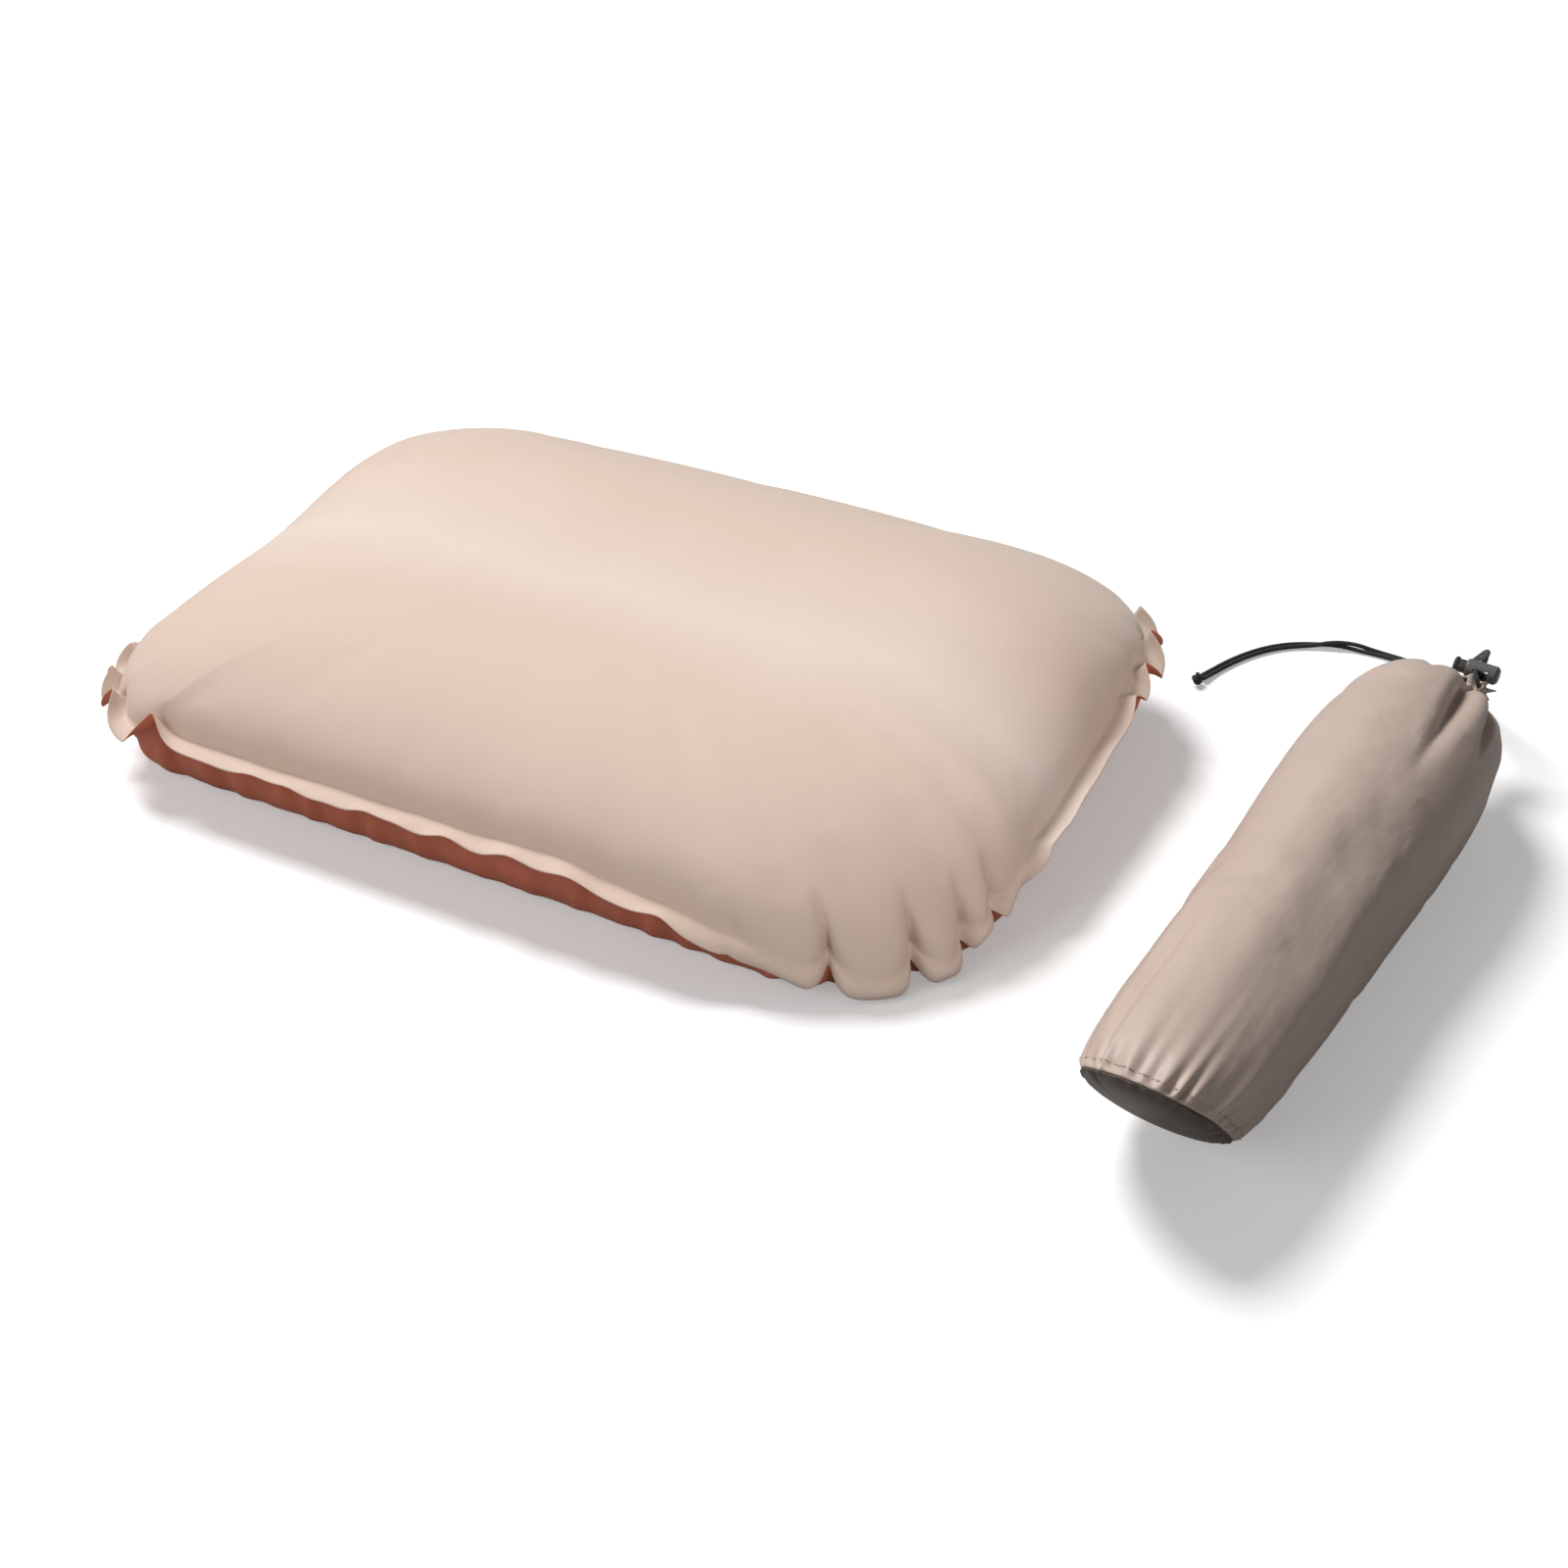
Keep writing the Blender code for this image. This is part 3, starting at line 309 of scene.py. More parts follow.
def satin_finish(name, colour):
    """Light satin-faced cloth of the sack: fine diagonal twill, soft gloss, small crumple marks."""
    finish = Finish(name, Roughness=0.42, Sheen_Weight=0.12, Sheen_Roughness=0.35,
                    Sheen_Tint=(1.0, 0.94, 0.9, 1.0), Specular_IOR_Level=0.42, Anisotropic=0.25)
    along, across = finish.cloth_point()
    twill = finish.sine((along * 0.6 + across) * (TAU / 0.0006)) * 0.5 + 0.5
    point = finish.object_point()
    threads = finish.noise(point, 1200.0, 3.0, 0.65)
    crumple = finish.noise(point, 46.0, 4.0, 0.55)
    patches = finish.noise(point, 12.0, 2.0, 0.5)
    base = finish.blend(patches, shade(colour, 0.93), shade(colour, 1.06))
    finish.colour(finish.blend(twill * 0.12 + threads * 0.18, base, shade(colour, 0.78)))
    finish.roughness(crumple * 0.16 + 0.36)
    finish.bump(crumple * 6.0 + twill * 0.20 + threads * 0.35, 0.00020, 0.6)
    return finish.material


def braid_finish():
    """Charcoal braided cord: crossing helical strands with pale worn fibres."""
    finish = Finish("braided_cord", Roughness=0.72, Sheen_Weight=0.3, Sheen_Roughness=0.4,
                    Specular_IOR_Level=0.3)
    along, around = finish.cloth_point()
    left = finish.sine(along * (TAU / BRAID_PITCH) + around * (TAU * 4))
    right = finish.sine(along * (TAU / BRAID_PITCH) - around * (TAU * 4))
    braid = finish.maths("MAXIMUM", left, right) * 0.5 + 0.5
    fibres = finish.noise(finish.object_point(), 2600.0, 2.0, 0.6)
    finish.colour(finish.blend(braid * 0.55 + fibres * 0.3, shade(CORD, 0.45), shade(CORD, 1.9)))
    finish.roughness(fibres * 0.2 + 0.6)
    finish.bump(braid + fibres * 0.3, 0.00018, 0.8)
    return finish.material


def moulded_finish(name, colour, roughness, metallic=0.0):
    """Moulded plastic, rubber or drawn metal: fine spark texture, handling sheen and faint dust."""
    finish = Finish(name, Roughness=roughness, Metallic=metallic, Specular_IOR_Level=0.5)
    point = finish.object_point()
    texture = finish.noise(point, 3200.0, 2.0, 0.6)
    rub = finish.noise(point, 260.0, 3.0, 0.6)
    finish.colour(finish.blend(rub, shade(colour, 0.82), shade(colour, 1.35)))
    finish.roughness(rub * 0.16 + (roughness - 0.08))
    finish.bump(texture, 0.00003, 0.5)
    return finish.material


KNIT_SAND = (0.665, 0.540, 0.455)
# The blush tone is a pinkish tone of the cloth that also serves as painted shade on the lobes' slopes; the pale
# tone is a painted highlight along the valley between the lobes.
KNIT_BLUSH_AND_SHADE = (0.660, 0.495, 0.410)
KNIT_PAINTED_HIGHLIGHT = (0.720, 0.610, 0.535)
RUST = (0.560, 0.155, 0.088)
SATIN = (0.610, 0.480, 0.408)
# Dark taupe of the sack's base disc, darkened further to the depth of the shade the disc lies in as it faces the
# floor: partly the cloth's own colour, partly painted shade.
SATIN_DARK_AND_SHADE = (0.085, 0.060, 0.045)
CORD = (0.030, 0.030, 0.031)

KNIT = knit_finish()
WEAVE = weave_finish()
SATIN_CLOTH = satin_finish("satin_taupe", SATIN)
# The base disc's cloth: dark taupe with painted shade in its colour.
DISC_CLOTH_AND_SHADE = satin_finish("satin_dark_taupe", SATIN_DARK_AND_SHADE)
BRAID = braid_finish()
STITCH_THREAD = moulded_finish("stitch_thread", (0.42, 0.33, 0.28), 0.7)
SPRING_STEEL = moulded_finish("spring_steel", (0.60, 0.60, 0.60), 0.28, metallic=1.0)
CAD_FINISHES = {
    "valve_stem": moulded_finish("valve_black", (0.030, 0.030, 0.032), 0.42),
    "valve_cap": moulded_finish("cap_black", (0.026, 0.026, 0.029), 0.36),
    "valve_strainer": moulded_finish("strainer_white", (0.70, 0.70, 0.68), 0.5),
    "valve_plunger": moulded_finish("plunger_grey", (0.20, 0.20, 0.20), 0.48),
    "valve_retainer": moulded_finish("clip_grey", (0.25, 0.25, 0.25), 0.42),
    "valve_o_ring": moulded_finish("seal_rubber", (0.02, 0.02, 0.02), 0.6),
    "lock_barrel": moulded_finish("lock_grey", (0.120, 0.118, 0.117), 0.34),
    "lock_button": moulded_finish("button_black", (0.035, 0.035, 0.036), 0.38),
}
for node_name, finish_material in CAD_FINISHES.items():
    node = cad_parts[node_name]
    node.data.materials.clear()
    node.data.materials.append(finish_material)


# ---------------------------------------------------------------- mesh building
def smoothstep(share):
    share = np.clip(share, 0.0, 1.0)
    return share * share * (3 - 2 * share)


def mesh_piece(name, points, faces, finish, uv=None):
    """A smooth-shaded piece from arrays of points and faces. uv holds one (u, v) for each point, in metres."""
    mesh = bpy.data.meshes.new(name)
    mesh.from_pydata([tuple(p) for p in points], [], faces)
    mesh.update()
    if uv is not None:
        layer = mesh.uv_layers.new(name="cloth")
        corners = np.empty(len(mesh.loops), dtype=np.int32)
        mesh.loops.foreach_get("vertex_index", corners)
        layer.data.foreach_set("uv", np.asarray(uv, dtype=np.float32)[corners].ravel())
    mesh.shade_smooth()
    mesh.materials.append(finish)
    piece = bpy.data.objects.new(name, mesh)
    bpy.context.scene.collection.objects.link(piece)
    return piece


def skin(rings, start_pole=None, end_pole=None):
    """Points and faces through rings of equal length, with a pole closing either end where one is given."""
    rings = [np.asarray(ring) for ring in rings]
    count = len(rings[0])
    points = np.concatenate(rings)
    faces = []
    for k in range(len(rings) - 1):
        a, b = k * count, (k + 1) * count
        for i in range(count):
            j = (i + 1) % count
            faces.append((a + i, a + j, b + j, b + i))
    if start_pole is not None:
        points = np.vstack([points, start_pole])
        pole = len(points) - 1
        faces += [(pole, (i + 1) % count, i) for i in range(count)]
    if end_pole is not None:
        points = np.vstack([points, end_pole])
        pole, last = len(points) - 1, (len(rings) - 1) * count
        faces += [(pole, last + i, last + (i + 1) % count) for i in range(count)]
    return points, faces


def seam_path():
    """The seam seen from above, as (along, x, y, nx, ny), each corner's place on it, and its length."""
    steps = np.linspace(0, 1, 400, endpoint=False)[:, None]
    pieces, middles = [], {}
    travelled = 0.0
    place = np.array([HALF_LENGTH, 0.0])

    def straight(end, normal):
        length = np.linalg.norm(end - place)
        row = place + (end - place) * steps
        pieces.append(np.hstack([travelled + length * steps, row, np.tile(normal, (400, 1))]))
        return travelled + length

    for index, (sx, sy) in enumerate(((1, 1), (-1, 1), (-1, -1), (1, -1))):
        radius = CORNER_RADII[index]
        centre = np.array([sx * (HALF_LENGTH - radius), sy * (HALF_WIDTH - radius)])
        first = index * math.pi / 2
        normal = np.array([math.cos(first), math.sin(first)])
        travelled = straight(centre + radius * normal, normal)
        angles = first + steps[:, 0] * math.pi / 2
        normals = np.stack([np.cos(angles), np.sin(angles)], 1)
        lengths = (travelled + radius * (angles - first))[:, None]
        pieces.append(np.hstack([lengths, centre + radius * normals, normals]))
        middles[CORNER_NAMES[index]] = travelled + radius * math.pi / 4
        travelled += radius * math.pi / 2
        place = centre + radius * np.array([-math.sin(first), math.cos(first)])
    travelled = straight(np.array([HALF_LENGTH, 0.0]), (1.0, 0.0))
    fine = np.vstack(pieces)
    stations = np.append(fine[:, 0], travelled)
    away = np.min([np.abs(wrapped(fine[:, 0] - middle, travelled)) for middle in middles.values()], axis=0)
    spacing = 0.0010 + 0.0016 * smoothstep((away - 0.085) / 0.04)
    count_so_far = np.concatenate([[0.0], np.cumsum(np.diff(stations) / spacing)])
    total = int(count_so_far[-1])
    along = np.interp(np.arange(total) * count_so_far[-1] / total, count_so_far, stations)
    columns = [np.interp(along, stations, np.append(column, column[0])) for column in fine[:, 1:].T]
    return np.stack([along, *columns], 1), middles, travelled


def wrapped(distance, total):
    """A distance along the closed seam, taken the shorter way round."""
    return (distance + total / 2) % total - total / 2


def lobe_height(y):
    """Height of the foam's two lobes at each y, before the cover smooths them."""
    stations = ((-0.1565, 0.0805), (-0.0775, 0.0875), (-0.0120, 0.0850), (0.0540, 0.1005), (0.1565, 0.0925))
    height = np.full_like(y, stations[-1][1])
    for (start, low), (end, high) in reversed(list(zip(stations, stations[1:]))):
        height = np.where(y <= end, low + (high - low) * smoothstep((y - start) / (end - start)), height)
    return height


def crown_height(y):
    """Height of the cover over the middle of the pillow, at each y."""
    return np.mean([lobe_height(y + shift) for shift in np.linspace(-0.017, 0.017, 9)], axis=0)


class Seam:
    """Everything that changes along the pillow's seam."""

    def __init__(self):
        path, self.middles, self.total = seam_path()
        self.along, self.x, self.y, self.nx, self.ny = path.T
        places = np.array([self.middles[c] + a for c, a, _ in SEAM_HEIGHTS]) % self.total
        heights = np.array([h for _, _, h in SEAM_HEIGHTS])
        order = np.argsort(places)
        places, heights = places[order], heights[order]
        places = np.concatenate([[places[-1] - self.total], places, [places[0] + self.total]])
        heights = np.concatenate([[heights[-1]], heights, [heights[0]]])
        index = np.clip(np.searchsorted(places, self.along) - 1, 0, len(places) - 2)
        share = (self.along - places[index]) / (places[index + 1] - places[index])
        self.height = heights[index] + (heights[index + 1] - heights[index]) * smoothstep(share)
        self.near = {}
        for corner, middle in self.middles.items():
            distance = np.abs(wrapped(self.along - middle, self.total))
            self.near[corner] = 1 - smoothstep((distance - 0.058) / 0.045)
        self.front = np.clip(-self.ny, 0, 1) * (1 - self.near["front_left"]) * (1 - self.near["front_right"])
        beside = np.abs(self.x - VALVE_X) / BOAT_REACH
        lens = np.cos(math.pi / 2 * np.minimum(beside, 1.0)) ** 1.5
        self.boat = np.where((beside < 1) & (self.y > 0), BOAT_HEIGHT * lens, 0.0)
        self.calm = 1 - smoothstep((0.040 - np.abs(self.x - VALVE_X)) / 0.012) * (self.y > 0)

    def folds(self):
        """Every fold as its signed distance along the seam, depth, lift, reach, curl and groove width."""
        for corner, rows in FOLDS.items():
            for place, *sizes in rows:
                yield wrapped(self.along - self.middles[corner] - place, self.total), *sizes, GROOVE_WIDTH[corner]

    def scallops(self):
        """The bulges between neighbouring folds, as signed distance, half width, depth and curl."""
        for corner, rows in FOLDS.items():
            for before, after in zip(rows, rows[1:]):
                middle = self.middles[corner] + (before[0] + after[0]) / 2
                distance = wrapped(self.along - middle, self.total)
                yield distance, (after[0] - before[0]) / 2, min(before[1], after[1]), min(before[4], after[4])

    def wave(self, count, bend, bend_count, shift=0.0):
        """A wave that runs a whole number of times round the seam, its spacing varied by a second one."""
        turn = TAU * self.along / self.total
        return np.sin(count * turn + shift + bend * np.sin(bend_count * turn + shift))


SEAM = Seam()


def gathered(height_above):
    """Outward and upward shift of the cover at a height above the seam, from the folds and scallops."""
    outward = np.zeros_like(SEAM.along)
    upward = np.zeros_like(SEAM.along)
    for distance, depth, lift, reach, _, wide in SEAM.folds():
        up_share = np.clip(height_above / reach, 0.0, 1.0)
        width = wide * (1 - 0.45 * up_share)
        tip = 0.0009 + 0.0006 * up_share
        crease = np.exp(-(np.sqrt(distance ** 2 + tip ** 2) - tip) / width)
        outward -= depth * (1 - up_share) ** 1.1 * crease
        upward += lift * np.exp(-height_above / 0.010) * crease
    for distance, half, strength, curl in SEAM.scallops():
        round_top = np.where(np.abs(distance) < half, np.cos(math.pi / 2 * np.clip(distance / half, -1, 1)), 0.0)
        outward += 0.26 * strength * round_top * np.exp(-(height_above / 0.022) ** 2)
        outward += 0.000022 * curl * round_top * np.exp(-height_above / 0.005)
        upward -= 0.00003 * curl * round_top * np.exp(-height_above / 0.010)
    ripple = SEAM.wave(33, 2.3, 5)
    outward += 0.0004 * SEAM.front * ripple * np.exp(-height_above / 0.010)
    upward += 0.0005 * SEAM.front * ripple * np.exp(-height_above / 0.008)
    return outward * SEAM.calm, upward * SEAM.calm


def flange_tilt():
    """Tilt of the flange above level, in radians, at each place along the seam."""
    tilt = SIDE_TILT + (RIGHT_TILT - SIDE_TILT) * smoothstep((SEAM.nx - 0.5) / 0.45)
    for corner in CORNER_NAMES:
        near = SEAM.near[corner]
        tilt = tilt * (1 - near) + FLANGE_TILT[corner] * near
    curl = np.zeros_like(tilt)
    for corner, rows in FOLDS.items():
        for before, after in zip(rows, rows[1:]):
            start = wrapped(SEAM.along - SEAM.middles[corner] - before[0], SEAM.total)
            share = start / (after[0] - before[0])
            degrees = before[4] + (after[4] - before[4]) * smoothstep(share)
            between = (share >= 0) & (share < 1)
            curl += np.where(between, degrees * (0.28 + 0.72 * np.cos(TAU * share)), 0.0)
        for end, way in ((rows[0], -1), (rows[-1], 1)):
            beyond = way * wrapped(SEAM.along - SEAM.middles[corner] - end[0], SEAM.total)
            curl += np.where(beyond > 0, end[4] * np.exp(-(beyond / 0.010) ** 2), 0.0)
    sides = 1 - np.maximum.reduce([SEAM.near[c] for c in CORNER_NAMES])
    curl += SEAM.wave(31, 2.4, 5, 0.6) * (6.0 * SEAM.front + 4.0 * sides) + SEAM.wave(57, 1.8, 7) * 3.5 * SEAM.front
    return np.radians(tilt + curl * SEAM.calm) * (0.25 + 0.75 * SEAM.calm)


TILT = flange_tilt()


def stack(x, y, z):
    return np.stack([x, y, z], 1)


def flange_ring(width, side):
    """A ring on the flange, a distance out from the seam, on the upper (+1), middle (0) or lower (-1) face."""
    outward, upward = gathered(np.zeros_like(SEAM.along))
    curl = TILT * min(1.0, 0.35 + 0.65 * width / FLANGE)
    out = outward + width * np.cos(curl) - side * FILM * np.sin(TILT)
    lift = np.sign(side) * SEAM.boat
    up = SEAM.height + upward + width * np.sin(curl) + side * FILM * np.cos(TILT) + lift
    return stack(SEAM.x + SEAM.nx * out, SEAM.y + SEAM.ny * out, np.maximum(up, 0.0004))


def dome_ring(share):
    """A ring on the dome, at a share of the way out from its middle. Its corners get rounder further in."""
    squared = (np.abs(SEAM.x) / HALF_LENGTH) ** PLAN_POWER + (np.abs(SEAM.y) / HALF_WIDTH) ** PLAN_POWER
    radius = squared ** (1 / PLAN_POWER)
    rounder = 0.55 * (1 - share ** 4)
    reach = share * (1 - rounder + rounder / radius)
    px, py = SEAM.x * reach, SEAM.y * reach
    foot = SEAM.height + FILM
    rise = (crown_height(py) - foot) * (1 - share ** DOME_POWER) ** 0.5
    outward, upward = gathered(rise)
    fade = smoothstep((share - 0.55) / 0.40)
    outward, upward = outward * fade, upward * fade + SEAM.boat * np.exp(-rise / 0.009)
    return stack(px + SEAM.nx * outward, py + SEAM.ny * outward, foot + rise + upward)


def pan_ring(inset, drop_share):
    """A ring on the shallow base, set in from the seam and part of the way down to the floor."""
    outward, upward = gathered(np.zeros_like(SEAM.along))
    keep = max(0.0, 1 - drop_share) ** 0.8
    foot = SEAM.height + upward - FILM - SEAM.boat * keep
    belly = 4 * drop_share * (1 - drop_share)
    wrinkle = belly * (0.0013 * SEAM.wave(61, 2.1, 7, 1.4 * drop_share)
                       + 0.0007 * SEAM.wave(103, 1.5, 11, 2.5 * drop_share))
    out = outward * keep - inset * (0.75 + 0.25 * np.minimum(SEAM.height / 0.034, 1.0)) + wrinkle
    z = foot * (1 - drop_share)
    return stack(SEAM.x + SEAM.nx * out, SEAM.y + SEAM.ny * out, np.maximum(z, 0.0))


def unrolled(rings):
    """A UV for each point: its direction from the middle, at its distance over the surface, in metres."""
    plan = np.stack([SEAM.x, SEAM.y], 1)
    direction = plan / np.linalg.norm(plan, axis=1)[:, None]
    distance = np.linalg.norm(rings[0][:, :2], axis=1)
    uv = [direction * distance[:, None]]
    for before, ring in zip(rings, rings[1:]):
        distance = distance + np.linalg.norm(ring - before, axis=1)
        uv.append(direction * distance[:, None])
    return np.concatenate(uv)


def dome_shares():
    """Shares of the way out, closer together down the steep side."""
    angles = np.linspace(0.0, 1.0, 46)[1:]
    return np.sin(angles * math.pi / 2) ** 0.75


def settle(piece, held, voxel, pressure, swell, cap, amount):
    """Let a piece's cloth settle in a short simulation. held is 1 at points that stay, 0 at free ones.

    A coarse copy is simulated, and what it moves is carried back to the piece's own points, so the piece
    keeps its welds and its UV map. cap limits how far a point moves, and amount is the share of it kept.
    """
    scene = bpy.context.scene
    copy = bpy.data.objects.new(piece.name + "_coarse", piece.data.copy())
    scene.collection.objects.link(copy)
    remesh = copy.modifiers.new("voxels", "REMESH")
    remesh.mode, remesh.voxel_size = "VOXEL", voxel
    mesh = bpy.data.meshes.new_from_object(copy.evaluated_get(bpy.context.evaluated_depsgraph_get()))
    bpy.data.objects.remove(copy)
    coarse = bpy.data.objects.new(piece.name + "_settling", mesh)
    scene.collection.objects.link(coarse)
    start = points_of(mesh)
    own = points_of(piece.data)
    tree = search_tree(own)
    group = coarse.vertex_groups.new(name="held")
    for index, point in enumerate(start):
        group.add([index], float(held[tree.find(point)[1]]), "REPLACE")
    cloth = coarse.modifiers.new("settle", "CLOTH")
    cloth.settings.quality = 6
    cloth.settings.mass = 0.15
    cloth.settings.tension_stiffness = cloth.settings.compression_stiffness = 22.0
    cloth.settings.shear_stiffness = 8.0
    cloth.settings.bending_stiffness = 0.6
    cloth.settings.vertex_group_mass = "held"
    cloth.settings.use_pressure = True
    cloth.settings.uniform_pressure_force = pressure
    cloth.settings.shrink_min = -swell
    cloth.settings.effector_weights.gravity = 0.0
    for frame_number in range(1, 21):
        scene.frame_set(frame_number)
    settled = coarse.evaluated_get(bpy.context.evaluated_depsgraph_get())
    shift = points_of(settled.data) - start
    scene.frame_set(1)
    bpy.data.objects.remove(coarse)
    size = np.linalg.norm(shift, axis=1)[:, None]
    shift *= amount * np.minimum(1.0, cap / np.maximum(size, 1e-9))
    tree = search_tree(start)
    for index, point in enumerate(own):
        if held[index] < 1:
            near = tree.find_n(point, 6)
            weights = np.array([1 / (distance + 0.0004) ** 2 for _, _, distance in near])
            moved = (shift[[number for _, number, _ in near]] * weights[:, None]).sum(0) / weights.sum()
            own[index] = point + moved * (1 - held[index])
    piece.data.vertices.foreach_set("co", own.ravel())
    piece.data.update()


def search_tree(points):
    """A tree that finds the points nearest to a place."""
    tree = KDTree(len(points))
    for index, point in enumerate(points):
        tree.insert(point, index)
    tree.balance()
    return tree


def points_of(mesh):
    """A mesh's vertices as an array."""
    points = np.empty(len(mesh.vertices) * 3)
    mesh.vertices.foreach_get("co", points)
    return points.reshape(-1, 3)


def build_cover():
    """The pillow's cover: knit top and woven base, each a closed form with its half of the flange."""
    rings = [dome_ring(share) for share in dome_shares()[:-1]]
    rings.append(flange_ring(0.0, WELD_DIP))
    rings += [flange_ring(width, 1) for width in (0.0012, 0.0018, 0.0030, 0.0050, 0.0070, 0.0086)]
    rings.append(flange_ring(FLANGE - 0.0002, 1) * 0.6 + flange_ring(FLANGE, 0.6) * 0.4)
    rings.append(flange_ring(FLANGE, 0.02))
    rings += [flange_ring(width, 0.02) for width in (0.0060, 0.0020, 0.0)]
    rings.append(rings[-1] * (0.82, 0.82, 1.0))
    groove = len(dome_shares())
    top_pole = np.array([[0.0, 0.0, crown_height(np.zeros(1))[0]]])
    seat_pole = np.array([[0.0, 0.0, COVER_MIDDLE]])
    points, faces = skin(rings[::-1], start_pole=seat_pole, end_pole=top_pole)
    uv = np.vstack([unrolled(rings).reshape(len(rings), -1, 2)[::-1].reshape(-1, 2), [[0.0, 0.0]], [[0.0, 0.0]]])
    top = mesh_piece("pillow_top_film", points, faces, KNIT, uv)
    rise = points[:, 2] - np.concatenate([np.tile(SEAM.height, len(rings)), [0.2, 0.0]])
    ring_number = np.arange(len(rings))[::-1].repeat(len(SEAM.along))
    free = np.concatenate([ring_number < groove - 1, [False, True]])
    held = np.where(free, 1 - smoothstep(rise / 0.020), 1.0)
    settle(top, held, voxel=0.0055, pressure=2.5, swell=0.0025, cap=0.003, amount=0.30)

    rings = [flange_ring(0.0, -0.02) * (0.82, 0.82, 1.0)]
    rings += [flange_ring(width, -0.02) for width in (0.0, 0.0020, 0.0060)]
    rings.append(flange_ring(FLANGE, -0.02))
    rings.append(flange_ring(FLANGE - 0.0002, -1) * 0.6 + flange_ring(FLANGE, -0.6) * 0.4)
    rings += [flange_ring(width, -1) for width in (0.0086, 0.0060, 0.0035, 0.0015, 0.0)]
    for step in np.linspace(0.0, 1.0, 15)[1:]:
        angle = step * math.pi / 2
        rings.append(pan_ring(BASE_INSET * (1 - math.cos(angle)) ** 0.9, math.sin(angle) ** 0.9))
    flat = rings[-1]
    rings += [flat * (share, share, 1.0) for share in (0.94, 0.80, 0.5, 0.2)]
    points, faces = skin(rings[::-1], start_pole=np.array([[0.0, 0.0, 0.0]]), end_pole=seat_pole)
    uv = np.vstack([unrolled(rings[::-1]), [[0.0, 0.0]], [[0.0, 0.0]]])
    base = mesh_piece("pillow_base_film", points, faces, WEAVE, uv)
    return top, base


def sack_height(along):
    """Height of the sack's middle line."""
    share = np.clip(along / (SACK_LENGTH - SHOULDER), 0.0, 1.0)
    rise = smoothstep((along - SACK_LENGTH + SHOULDER) / (SHOULDER + NECK))
    return BASE_RADIUS + (MOUTH_RADIUS - BASE_RADIUS) * share + (HEM_HEIGHT - MOUTH_RADIUS) * rise


def sack_across(along):
    """How far the sack's middle line bends aside at the mouth."""
    return MOUTH_OFFSET * smoothstep((along - SACK_LENGTH) / NECK)


def sack_radius(along):
    """The sack's radius along its length, from the base seam to the neck."""
    neck = RING_STATION - HEM_TUBE - SACK_LENGTH
    shoulder = SACK_LENGTH - SHOULDER
    stations = np.array([
        (0.0, BASE_RADIUS * 0.83), (0.004, BASE_RADIUS * 0.885), (0.012, BASE_RADIUS * 0.94),
        (0.028, BASE_RADIUS * 0.985), (0.055, BASE_RADIUS * 1.01),
        (shoulder * 0.5, (BASE_RADIUS + MOUTH_RADIUS) / 2), (shoulder, MOUTH_RADIUS * 0.985),
        (shoulder + SHOULDER * 0.6, MOUTH_RADIUS * 0.945), (SACK_LENGTH + neck * 0.10, MOUTH_RADIUS * 0.83),
        (SACK_LENGTH + neck * 0.40, MOUTH_RADIUS * 0.60), (SACK_LENGTH + neck * 0.62, MOUTH_RADIUS * 0.40),
        (SACK_LENGTH + neck * 0.80, MOUTH_RADIUS * 0.25), (RING_STATION - HEM_TUBE, 0.0070),
        (RING_STATION, 0.0066), (RING_STATION + 0.004, 0.0072),
    ])
    x, r = stations.T
    slope = np.gradient(r, x)
    index = np.clip(np.searchsorted(x, along) - 1, 0, len(x) - 2)
    gap = x[index + 1] - x[index]
    t = np.clip((along - x[index]) / gap, 0.0, 1.0)
    h00, h10 = 2 * t ** 3 - 3 * t ** 2 + 1, t ** 3 - 2 * t ** 2 + t
    h01, h11 = -2 * t ** 3 + 3 * t ** 2, t ** 3 - t ** 2
    return h00 * r[index] + h10 * gap * slope[index] + h01 * r[index + 1] + h11 * gap * slope[index + 1]


def turned_gap(angle, centre):
    """Signed angle from a line along the sack."""
    return (angle - centre + math.pi) % TAU - math.pi


# Pleats drawn together at the mouth: angle round the sack in degrees (0 is its right side, 90 its top),
# depth as a share of the radius, half width in degrees at the mouth, and how far back along the sack it runs.
MOUTH_PLEATS = (
    (62, 0.30, 11, 0.120), (33, 0.26, 8, 0.075), (-4, 0.26, 10, 0.055), (-38, 0.24, 10, 0.045),
    (-74, 0.24, 10, 0.040), (-110, 0.22, 10, 0.040), (-144, 0.22, 10, 0.034), (-176, 0.18, 9, 0.028),
    (152, 0.14, 8, 0.020), (124, 0.14, 8, 0.018), (94, 0.20, 8, 0.026),
)
# Long soft creases: angle in degrees, drift in degrees over the length, depth in metres (a ridge is negative),
# half width in degrees, first and last place along the sack.
LONG_CREASES = (
    (131, -7, 0.0018, 6, -0.02, 0.115), (143, -6, -0.0012, 7, -0.02, 0.120), (58, 10, 0.0016, 17, 0.03, 0.235),
    (30, 8, -0.0016, 11, -0.02, 0.150), (84, -9, -0.0008, 12, 0.02, 0.200), (8, 6, 0.0022, 12, -0.02, 0.200),
    (-25, 5, -0.0014, 14, 0.00, 0.260), (168, 5, 0.0014, 12, 0.05, 0.240), (-150, -6, 0.0013, 13, 0.02, 0.250),
    (112, 4, 0.0010, 10, 0.10, 0.240),
)


